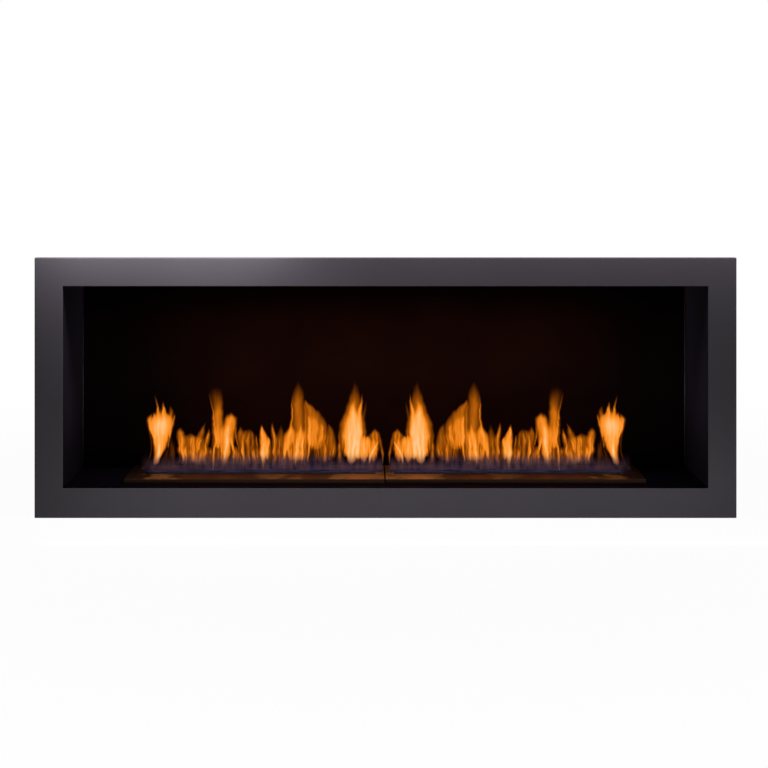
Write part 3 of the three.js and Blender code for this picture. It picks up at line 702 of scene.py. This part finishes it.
rivets += [((x, CASING_BACK, z), (0, 1, 0)) for x in BACK_ROW for z in BACK_EDGES]
# A rivet can sit at any turn. A hexagon looks the same again after a sixth of one.
FULL_TURN, SIXTH_OF_A_TURN = 6.28, 1.05
make_fixings("casing_rivets", "firebox", rivet, rivets, FULL_TURN)
make_fixings("bracket_screws", "firebox", screw, screws, SIXTH_OF_A_TURN)

# ---------------------------- flames

# One tongue of fire each: how hot its core is, the share of it over which the tip fades, how far it stands
# behind the slot's middle, and its stations (x, height over the rim, half width), in millimetres.
# They belong to the left burner, group by group from its outer end.
TONGUES = [
    # Thin veils behind the others, which close the gaps between them.
    (0.32, 0.35, 10, [(-345, 20, 164), (-345, 32, 162), (-345, 44, 160), (-345, 56, 150), (-345, 66, 0)]),
    (0.42, 0.3, 9, [(-398, 30, 20), (-398, 50, 22), (-396, 75, 24), (-394, 105, 20), (-392, 125, 0)]),
    (0.54, 0.3, 9, [(-215, 30, 28), (-212, 48, 34), (-206, 70, 34), (-198, 100, 26), (-195, 120, 0)]),
    (0.22, 0.3, 9, [(-172, 24, 14), (-172, 40, 17), (-172, 60, 17), (-174, 84, 12), (-176, 100, 0)]),
    (0.4, 0.3, 10, [(-194, 96, 8), (-194, 120, 9), (-195, 145, 8), (-197, 168, 5), (-199, 186, 0)]),
    (0.4, 0.3, 9, [(-146, 30, 24), (-146, 48, 27), (-146, 70, 26), (-146, 92, 20), (-150, 112, 0)]),
    (0.38, 0.3, 9, [(-265, 28, 24), (-262, 42, 24), (-260, 60, 22), (-258, 85, 14), (-256, 104, 0)]),
    (0.6, 0.3, 9, [(-56, 38, 38), (-54, 46, 42), (-52, 60, 40), (-50, 78, 30), (-50, 92, 0)]),
    # The flame by the burner's outer end.
    (0.94, 0.26, 0, [(-557, 25, 11), (-554, 36, 12), (-550, 52, 16), (-546, 75, 22), (-545, 97, 29),
        (-545, 116, 34), (-545, 130, 32), (-545, 141, 20), (-545, 151, 8.5), (-544, 160, 0)]),
    (0.69, 0.35, -4, [(-551, 97, 9.8), (-551, 131, 11), (-552, 150, 6.3), (-554, 167, 4.2), (-558, 184, 3.2),
        (-562, 197, 0)]),
    (0.81, 0.3, -6, [(-538, 97, 11), (-538, 131, 11), (-538, 150, 7.8), (-539, 165, 3.7), (-539, 178, 0)]),
    (0.64, 0.25, 3, [(-562, 87, 8.5), (-570, 111, 11), (-573, 128, 10), (-570, 139, 7), (-569, 145, 0)]),
    (0.63, 0.25, 2, [(-560, 111, 7.8), (-562, 133, 5.9), (-564, 148, 0)]),
    (0.52, 0.35, 4, [(-526, 92, 10), (-523, 126, 11), (-522, 145, 8.5), (-523, 158, 4.9), (-524, 167, 0)]),
    (0.58, 0.25, 2, [(-527, 67, 3.9), (-520, 101, 6.3), (-515, 126, 5.4), (-512, 140, 2.9), (-512, 150, 0)]),
    (0.22, 0.2, 6, [(-595, 4, 6.3), (-581, 18, 6.3), (-572, 38, 4.9), (-569, 62, 4.6), (-571, 87, 5.4),
        (-576, 109, 4.4), (-578, 123, 0)]),
    (0.2, 0.4, 10, [(-531, 9, 19), (-526, 33, 19), (-521, 57, 14), (-519, 77, 8), (-518, 96, 0)]),
    # Low fire.
    (0.43, 0.2, 12, [(-466, 26, 34), (-468, 48, 40), (-468, 68, 39), (-470, 84, 32), (-473, 90, 15),
        (-474, 96, 0)]),
    (0.64, 0.2, 2, [(-490, 31, 5.4), (-494, 53, 10), (-495, 75, 13), (-496, 92, 13), (-497, 103, 9),
        (-498, 112, 0)]),
    (0.54, 0.35, 6, [(-458, 48, 9.8), (-453, 75, 13), (-447, 97, 10), (-443, 110, 5.6), (-439, 119, 2.7),
        (-437, 130, 0)]),
    (0.52, 0.25, 8, [(-438, 43, 8.3), (-435, 67, 9.5), (-432, 89, 7.8), (-430, 101, 4.9), (-430, 111, 0)]),
    (0.82, 0.3, -6, [(-483, 31, 2.2), (-485, 48, 3.7), (-486, 62, 2.7), (-487, 75, 0)]),
    (0.62, 0.3, -5, [(-466, 31, 6.3), (-469, 53, 5.9), (-470, 70, 4.4), (-471, 84, 2.4), (-472, 94, 0)]),
    (0.78, 0.3, -7, [(-454, 48, 2.7), (-451, 65, 3.9), (-447, 79, 2.4), (-443, 88, 0)]),
    (0.52, 0.3, -8, [(-428, 28, 3.4), (-426, 48, 3.2), (-425, 62, 0)]),
    (0.5, 0.3, -3, [(-463, 26, 15), (-463, 35, 14), (-462, 44, 6.1), (-461, 50, 0)]),
    # A bright flame with a thin spire behind it.
    (0.57, 0.4, 8, [(-409, 62, 16), (-408, 97, 17), (-407, 126, 17), (-406, 150, 16), (-408, 172, 17),
        (-411, 190, 19), (-412, 203, 17), (-412, 213, 0)]),
    (0.58, 0.3, 2, [(-412, 72, 5.1), (-415, 111, 4.4), (-417, 145, 4.2), (-423, 170, 3.9), (-428, 187, 3.9),
        (-429, 198, 0)]),
    (0.7, 0.15, 2, [(-387, 23, 7.8), (-386, 55, 18), (-386, 82, 25), (-383, 104, 24), (-378, 123, 20),
        (-375, 136, 16), (-375, 143, 8.8), (-375, 148, 0)]),
    (0.81, 0.3, -4, [(-383, 53, 7.3), (-385, 77, 13), (-383, 101, 12), (-381, 121, 6.3), (-380, 136, 0)]),
    (0.87, 0.3, -8, [(-391, 18, 2.9), (-389, 38, 5.1), (-385, 62, 7.3), (-383, 82, 6.8), (-381, 101, 0)]),
    (0.79, 0.3, -7, [(-368, 35, 2.7), (-370, 57, 5.1), (-374, 77, 6.1), (-377, 99, 0)]),
    (0.57, 0.3, -5, [(-357, 57, 2.2), (-360, 82, 4.2), (-363, 106, 4.2), (-366, 128, 0)]),
    (0.87, 0.3, -8, [(-416, 9, 3.4), (-417, 28, 5.6), (-416, 53, 5.9), (-414, 70, 3.4), (-412, 82, 0)]),
    (0.56, 0.3, -6, [(-396, 45, 2.7), (-398, 62, 3.7), (-400, 79, 0)]),
    # Low fire again.
    (0.39, 0.2, 12, [(-331, 26, 22), (-331, 50, 25), (-332, 72, 25), (-333, 89, 22), (-336, 100, 16),
        (-337, 108, 0)]),
    (0.52, 0.25, 4, [(-347, 44, 8), (-349, 66, 12), (-350, 88, 12), (-351, 102, 8), (-351, 114, 0)]),
    (0.43, 0.25, 5, [(-338, 75, 6.1), (-339, 94, 5.1), (-339, 111, 0)]),
    (0.49, 0.25, 2, [(-311, 33, 3.2), (-311, 60, 4.6), (-312, 84, 4.2), (-314, 101, 0)]),
    (0.56, 0.3, -6, [(-346, 31, 2.7), (-344, 50, 3.7), (-341, 70, 0)]),
    (0.52, 0.3, -6, [(-331, 33, 2.7), (-329, 55, 3.7), (-327, 75, 0)]),
    # A short flame and its faint neighbours.
    (0.88, 0.2, -4, [(-297, 9, 3), (-297, 26, 8), (-295, 46, 15), (-293, 67, 16), (-295, 87, 12),
        (-298, 104, 6.5), (-301, 122, 0)]),
    (0.72, 0.25, -2, [(-285, 33, 7.3), (-283, 60, 9), (-285, 82, 6.1), (-289, 94, 0)]),
    (0.6, 0.25, 2, [(-271, 48, 6), (-270, 75, 8.5), (-272, 97, 8), (-274, 113, 5), (-275, 129, 0)]),
    (0.32, 0.4, 12, [(-253, 48, 13), (-252, 79, 13), (-252, 103, 8), (-251, 122, 0)]),
    (0.39, 0.3, 4, [(-267, 28, 12), (-267, 45, 14), (-268, 57, 7.8), (-269, 67, 0)]),
    # A tall spire with a dome beside it.
    (0.5, 0.3, 8, [(-210, 62, 18), (-211, 97, 19), (-211, 126, 19), (-211, 150, 18), (-211, 175, 17),
        (-211, 194, 16), (-210, 210, 12), (-210, 224, 0)]),
    (0.62, 0.3, 2, [(-237, 57, 6.3), (-231, 89, 6.6), (-227, 121, 5.6), (-225, 150, 4.9), (-224, 180, 3.9),
        (-223, 202, 0)]),
    (0.76, 0.25, -5, [(-246, 33, 5.1), (-241, 53, 12), (-234, 75, 17), (-229, 98, 16), (-225, 124, 0)]),
    (0.83, 0.25, -8, [(-217, 20, 5), (-215, 42, 7.5), (-211, 67, 10), (-207, 92, 10), (-206, 111, 6),
        (-206, 126, 0)]),
    (0.69, 0.25, -6, [(-200, 31, 5.1), (-199, 55, 7.6), (-200, 77, 6.6), (-202, 99, 0)]),
    (0.5, 0.12, 6, [(-167, 60, 24), (-167, 84, 33), (-169, 109, 34), (-175, 133, 29), (-182, 153, 20),
        (-190, 167, 10), (-195, 178, 0)]),
    (0.68, 0.25, -3, [(-183, 72, 10), (-183, 99, 11), (-184, 123, 8.3), (-187, 140, 4.2), (-188, 153, 0)]),
    (0.5, 0.25, 0, [(-172, 67, 20), (-171, 92, 23), (-173, 116, 20), (-178, 136, 12), (-182, 150, 0)]),
    (0.57, 0.3, -2, [(-154, 77, 6.3), (-153, 101, 6.8), (-155, 116, 4.2), (-156, 128, 0)]),
    (0.42, 0.2, 6, [(-128, 40, 13), (-128, 68, 15), (-131, 92, 13), (-136, 110, 8), (-140, 124, 0)]),
    (0.49, 0.3, -3, [(-145, 33, 7.6), (-144, 55, 8.8), (-140, 75, 6.3), (-138, 87, 0)]),
    (0.52, 0.3, -2, [(-126, 43, 3.9), (-123, 62, 4.4), (-122, 77, 0)]),
    (0.53, 0.3, -5, [(-187, 28, 5.4), (-186, 48, 7.3), (-184, 67, 6.3), (-183, 84, 0)]),
    (0.38, 0.3, 3, [(-156, 28, 5.4), (-156, 48, 5.9), (-156, 65, 4.4), (-156, 82, 0)]),
    # The tallest flame, by the burner's inner end.
    (0.6, 0.4, 8, [(-74, 36, 28), (-78, 62, 35), (-79, 97, 37), (-78, 126, 32), (-75, 155, 24),
        (-72, 184, 17), (-72, 206, 9.3), (-73, 221, 3.9), (-74, 232, 0)]),
    (0.94, 0.2, 0, [(-78, 27, 14), (-79, 50, 23), (-79, 77, 29), (-80, 101, 27), (-77, 126, 21),
        (-76, 148, 15), (-77, 165, 8.3), (-79, 178, 0)]),
    (0.84, 0.25, -4, [(-65, 36, 9), (-67, 56, 17), (-67, 87, 17), (-64, 116, 14), (-61, 143, 9.5),
        (-57, 165, 6.1), (-54, 184, 3.7), (-53, 200, 0)]),
    (0.26, 0.3, 4, [(-57, 92, 6.6), (-53, 126, 6.8), (-48, 150, 6.3), (-45, 170, 3.4), (-44, 180, 0)]),
    (0.71, 0.2, -2, [(-50, 29, 10), (-48, 50, 16), (-48, 72, 17), (-50, 84, 13), (-50, 95, 0)]),
    (0.54, 0.15, 2, [(-27, 31, 11), (-28, 58, 18), (-26, 82, 20), (-24, 97, 13), (-24, 106, 0)]),
    (0.42, 0.25, -4, [(-4, 24, 2.7), (-6, 40, 4.9), (-9, 60, 6.1), (-11, 82, 5.9), (-12, 99, 0)]),
    (0.94, 0.25, -7, [(-36, 26, 4.2), (-34, 42, 7.6), (-26, 60, 6.8), (-17, 75, 3.9), (-13, 84, 0)]),
    (0.44, 0.3, 12, [(-111, 24, 9), (-111, 44, 11), (-110, 64, 8), (-108, 84, 0)]),
]
# Where the fire stands, in millimetres.
SLOT_MIDDLE_Y, RIM_TOP = 5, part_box("left_burner_top_plate")[1].z / MM
# Spacing of the fire's points across and up.
ACROSS, UP = 1.8, 2.6
# How far in from a tongue's edge it turns orange, then pale, and how much of its heat each step brings.
EDGE, CORE, EDGE_HEAT, CORE_HEAT = 5.5, 24, 0.58, 0.42
# The half width past which a tongue gets no hotter, how far it thins out below its lowest station, and how
# far past its edge a point can lie and still have drifted out of it.
WIDEST, FOOT_REACH, DRIFT_ROOM = 26, 26, 8
# How sharply one tongue takes over from the next, where 1 would add them up, and the faintest fire drawn.
BLEND, FAINTEST = 3.5, 0.03
# Above SHOULDER the heat eases over EASE towards EXTRA more than that.
SHOULDER, EXTRA, EASE = 0.66, 0.46, 0.36


def smooth(value):
    """Nought to one with soft ends."""
    value = max(0.0, min(1.0, value))
    return value * value * (3 - 2 * value)


def ripple(x, y, layer):
    """Smooth noise of about one unit either way."""
    return 1.6 * noise.noise(Vector((x, y, 7.3 * layer)))


def through(stations, share):
    """A point on the smooth curve through the stations."""
    along = share * (len(stations) - 1)
    index = min(int(along), len(stations) - 2)
    step = along - index
    before, start = stations[max(index - 1, 0)], stations[index]
    end, after = stations[index + 1], stations[min(index + 2, len(stations) - 1)]
    return [
        b + 0.5 * step * (c - a + step * (2 * a - 5 * b + 4 * c - d + step * (3 * (b - c) + d - a)))
        for a, b, c, d in zip(before, start, end, after)
    ]


def tongue_rows(stations):
    """A tongue's middle and half width at each millimetre of its height, its foot thinning out downwards."""
    foot, top = stations[0][1], stations[-1][1]
    # Eight samples to a millimetre, so that every millimetre of the height gets one.
    count = 8 * (top - foot)
    rows = {}
    for step in range(count + 1):
        x, height, width = through(stations, step / count)
        rows[round(height)] = (x, max(width, 0.0))
    lean = (stations[1][0] - stations[0][0]) / (stations[1][1] - foot)
    for below in range(1, FOOT_REACH + DRIFT_ROOM):
        rows[foot - below] = (stations[0][0] - lean * below, stations[0][2] * math.exp(-below / 16))
    return rows


def glow(inside):
    """Heat this far in from a tongue's edge, as a share of its core's."""
    inside = max(inside, 0.0)
    edge = 1 - math.exp(-((inside / EDGE) ** 1.5))
    core = 1 - math.exp(-((inside / CORE) ** 1.4))
    return EDGE_HEAT * edge + CORE_HEAT * core


def drift(i, k):
    """Where the draught has carried a grid point from."""
    x, height = i * ACROSS, k * UP
    across = 1.6 * ripple(x / 45, height / 30, 1) + ripple(x / 14, height / 12, 2)
    return x + across, height + 3 * ripple(x / 9, height / 40, 3)


def fire_field():
    """Heat and depth of the left burner's fire at each point (column, row) of an upright grid."""
    heats, leans, drifts = {}, {}, {}
    for heat, fade, depth, stations in TONGUES:
        rows = tongue_rows(stations)
        foot, top = stations[0][1], stations[-1][1]
        for k in range(math.floor((foot - FOOT_REACH) / UP), math.ceil(top / UP) + 1):
            middle, half = rows[max(min(round(k * UP), top), foot - FOOT_REACH)]
            left, right = middle - half - DRIFT_ROOM, middle + half + DRIFT_ROOM
            for i in range(math.floor(left / ACROSS), math.ceil(right / ACROSS) + 1):
                if (i, k) not in drifts:
                    drifts[i, k] = drift(i, k)
                x, height = drifts[i, k]
                if round(height) not in rows:
                    continue
                middle_here, half_here = rows[round(height)]
                inside = half_here - 0.6 - abs(x - middle_here)
                full = glow(min(max(half_here - 0.6, 0.8), WIDEST))
                thin = 0.4 + 0.6 * min(1, half_here / 3)
                tip = smooth((1.02 - (height - foot) / (top - foot)) / (1.3 * fade)) ** 0.75
                low = math.exp(-((max(foot - height, 0) / 9) ** 1.3))
                level = heat * thin * glow(inside) / full * tip * low
                share = level**BLEND
                heats[i, k] = heats.get((i, k), 0) + share
                leans[i, k] = leans.get((i, k), 0) + share * depth
    field = {}
    for (i, k), share in heats.items():
        level = share ** (1 / BLEND)
        over = max(level - SHOULDER, 0)
        level = min(level, SHOULDER) + EXTRA * (1 - math.exp(-over / EASE))
        depth = leans[i, k] / share if share else 0
        field[i, k] = (level * smooth((k * UP - 1) / 7), depth, drifts[i, k][0])
    return field


def make_flames(name, field, mirrored):
    """One closed, lens-shaped body of fire, thick where it is hot and thin at its edges."""
    ends = ((0, 0), (0, 1), (1, 0), (1, 1))
    cells = {(i, k) for i, k in field if max(field.get((i + a, k + b), (0,))[0] for a, b in ends) > FAINTEST}
    points, values, flow, index = [], [], [], {}

    def corner(i, k, face):
        if (i, k, face) not in index:
            index[i, k, face] = len(points)
            x, height = i * ACROSS, k * UP
            level, depth, source = field.get((i, k), (0.0, 0.0, x))
            deep = 0.3 + 12 * smooth(level) + 1.5 * level * ripple(x / 11, height / 30, 4)
            y = SLOT_MIDDLE_Y + 0.6 * depth + 2 * ripple(x / 40, height / 60, 5) + face * deep
            points.append((2 * FLAME_MIRROR - x if mirrored else x, y, height + RIM_TOP))
            # Streaks are strongest low down and where the fire is thin. Its foot is cool.
            low = smooth((130 - height) / 90)
            flicker = (0.12 + 0.56 * low) * max(0.1, min(1, 1.2 - 1.05 * level))
            cool = smooth((50 - height) / 34) * max(0, min(1, 1.45 - 0.75 * level))
            values.append((level, flicker, cool))
            flow.append((source, height))
        return index[i, k, face]

    faces = []
    for i, k in cells:
        ring = [(i, k), (i + 1, k), (i + 1, k + 1), (i, k + 1)]
        faces.append([corner(*point, -1) for point in ring])
        faces.append([corner(*point, 1) for point in reversed(ring)])
        for step, beside in enumerate(((i, k - 1), (i + 1, k), (i, k + 1), (i - 1, k))):
            if beside not in cells:
                start, end = ring[step], ring[(step + 1) % 4]
                faces.append([corner(*end, -1), corner(*start, -1), corner(*start, 1), corner(*end, 1)])
    return fire_mesh(name, points, faces, values, flow, mirrored)


def fire_mesh(name, points, faces, values, flow, mirrored):
    """A mesh of fire: where it is warm, how much it flickers, where it is cool, and its flow as a UV map."""
    mesh = bpy.data.meshes.new(name)
    turned = [face[::-1] for face in faces] if mirrored else faces
    mesh.from_pydata([Vector(point) * MM for point in points], [], turned)
    for number, label in enumerate(FIRE_VALUES):
        stored = mesh.attributes.new(label, "FLOAT", "POINT")
        stored.data.foreach_set("value", [value[number] for value in values])
    drawn = mesh.uv_layers.new(name="flow")
    for loop in mesh.loops:
        drawn.data[loop.index].uv = [value * MM for value in flow[loop.vertex_index]]
    mesh.shade_smooth()
    return mesh


def make_blue_foot(name, mirrored):
    """The low blue fire that fills the slot from end to end, its top edge uneven."""
    left, right, bottom, top, half_depth = -600, -2, -1.5, 54, 17
    sides, pitch = 22, 4
    count = round((right - left) / pitch)
    points, faces, values, flow = [], [], [], []
    for step in range(count + 1):
        x = left + (right - left) * step / count
        end = min(1, min(step, count - step) / 5) ** 0.5
        fade = smooth((x - left) / 60) * smooth((right - x) / 8)
        # The fire is calm and thin between the end flame and the next one.
        fade *= 1 - 0.32 * smooth((x + 560) / 30) * smooth((-400 - x) / 60)
        crest = 22 + 7 * ripple(x / 26, 0, 6) + 5 * ripple(x / 7, 0, 7)
        for turn in range(sides):
            angle = math.tau * turn / sides
            height = (top + bottom) / 2 + (top - bottom) / 2 * math.sin(angle)
            across = half_depth * end * math.cos(angle)
            width = max(across, 0.01) if math.cos(angle) > 0 else min(across, -0.01)
            points.append((2 * FLAME_MIRROR - x if mirrored else x, SLOT_MIDDLE_Y + width, height + RIM_TOP))
            veil = smooth((crest + 20 - height) / 32) * smooth((height + 1.5) / 3) * fade
            front = 1.0 if math.cos(angle) < 0 else 0.5
            cover = veil * (0.55 + 0.25 * smooth((18 - height) / 12)) * front
            values.append((smooth((height - 4) / 12), cover, 0.0))
            flow.append((x, height))
    for step in range(count):
        for turn in range(sides):
            here, ahead, other = step * sides, (step + 1) * sides, (turn + 1) % sides
            faces.append([here + other, here + turn, ahead + turn, ahead + other])
    faces.append(list(range(sides)))
    faces.append(list(range(count * sides, (count + 1) * sides))[::-1])
    return fire_mesh(name, points, faces, values, flow, mirrored)


orange, blue = ethanol_flame(), blue_flame()
field = fire_field()
for side, mirrored in (("left", False), ("right", True)):
    for made, material in (
        (make_flames(f"{side}_flames", field, mirrored), orange),
        (make_blue_foot(f"{side}_blue_fire", mirrored), blue),
    ):
        fire = place(made, made.name, material, f"{side}_burner")
        fire.visible_shadow = False
        fire.visible_glossy = material == orange
        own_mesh(fire)

# ---------------------------- floor, light and camera


def background_rays(tree):
    """One for the rays that see the studio itself: from the camera, off gloss and through glass."""
    path = add(tree, "LightPath")
    inputs = {0: path.outputs["Is Camera Ray"], 1: path.outputs["Is Glossy Ray"]}
    seen = add(tree, "Math", inputs, operation="MAXIMUM")
    return add(tree, "Math", {0: seen, 1: path.outputs["Is Transmission Ray"]}, operation="MAXIMUM")


def make_world():
    """White all round the object, easing to a grey room in front of it; its own light is low and even."""
    world = bpy.data.worlds.new("studio")
    scene.world = world
    world.use_nodes = True
    tree = world.node_tree
    tree.nodes.clear()
    towards = add(tree, "TexCoord").outputs["Generated"]
    direction = add(tree, "SeparateXYZ", {0: towards})
    inputs = {"Value": direction.outputs["Y"], "From Min": -0.9, "From Max": -0.1, "To Min": ROOM_LEVEL}
    room = add(tree, "MapRange", inputs)
    level = add(tree, "Mix", {0: background_rays(tree), 2: WORLD_LEVEL, 3: room})
    light = add(tree, "Background", {"Color": "ffffff", "Strength": level})
    add(tree, "OutputWorld", {"Surface": light})


def make_floor():
    """A pale floor that shows white and keeps a soft shadow round the object."""
    half, z = 30, -0.3 * MM
    mesh = bpy.data.meshes.new("floor")
    corners = [(-half, -half, z), (half, -half, z), (half, half, z), (-half, half, z)]
    mesh.from_pydata(corners, [], [(0, 1, 2, 3)])
    material = bpy.data.materials.new("pale_floor")
    material.use_nodes = True
    tree = material.node_tree
    tree.nodes.clear()
    matt = add(tree, "BsdfDiffuse", {"Color": "c4c4c4"})
    white = add(tree, "Emission", {"Color": "ffffff", "Strength": 1.0})
    at = add(tree, "TexCoord").outputs["Object"]
    away = add(tree, "VectorMath", {0: at}, operation="LENGTH")
    inputs = {"Value": away.outputs["Value"], "From Min": 0.9, "From Max": 2.4, "To Min": FLOOR_WHITE}
    whiter = add(tree, "MapRange", inputs)
    share = add(tree, "Math", {0: background_rays(tree), 1: whiter}, operation="MULTIPLY")
    mixed = add(tree, "MixShader", {0: share, 1: matt, 2: white})
    add(tree, "OutputMaterial", {"Surface": mixed})
    mesh.materials.append(material)
    floor = bpy.data.objects.new("floor", mesh)
    scene.collection.objects.link(floor)


def add_lamp(name, spot, aim, width, depth, power):
    """A soft rectangular lamp at a spot, aimed at another, that the camera doesn't see."""
    data = bpy.data.lights.new(name, "AREA")
    data.shape, data.size, data.size_y, data.energy = "RECTANGLE", width, depth, power
    lamp = bpy.data.objects.new(name, data)
    lamp.location = spot
    lamp.rotation_euler = (Vector(aim) - Vector(spot)).to_track_quat("-Z", "Y").to_euler()
    lamp.visible_camera = False
    lamp.visible_glossy = False
    scene.collection.objects.link(lamp)


def make_camera():
    """Level view a little left of the middle and above the surround's top, as the photograph's is."""
    data = bpy.data.cameras.new("camera")
    data.lens, data.sensor_width = 81.02, 36
    data.shift_x, data.shift_y = 0.0307, -0.285
    camera = bpy.data.objects.new("camera", data)
    camera.location = (-0.059, -4.21, 0.8295)
    camera.rotation_euler = (math.pi / 2, 0, 0)
    scene.collection.objects.link(camera)
    scene.camera = camera


# How bright the room in front is in reflections, the world's own light, and the floor's white by the object.
ROOM_LEVEL, WORLD_LEVEL, FLOOR_WHITE = 0.2, 0.042, 0.97
make_world()
make_floor()
add_lamp("key", (-0.54, -0.23, 0.735), (-0.54, -0.2, 0.0), 0.6, 0.12, 4.15)
add_lamp("top_fill", (0.57, -0.24, 0.79), (0.57, -0.2, 0.0), 1.8, 0.12, 5.9)
add_lamp("low_fill", (0.08, -0.44, 0.05), (0.08, -0.16, 0.02), 1.66, 0.08, 1.38)
make_camera()
scene.view_settings.view_transform = "Standard"
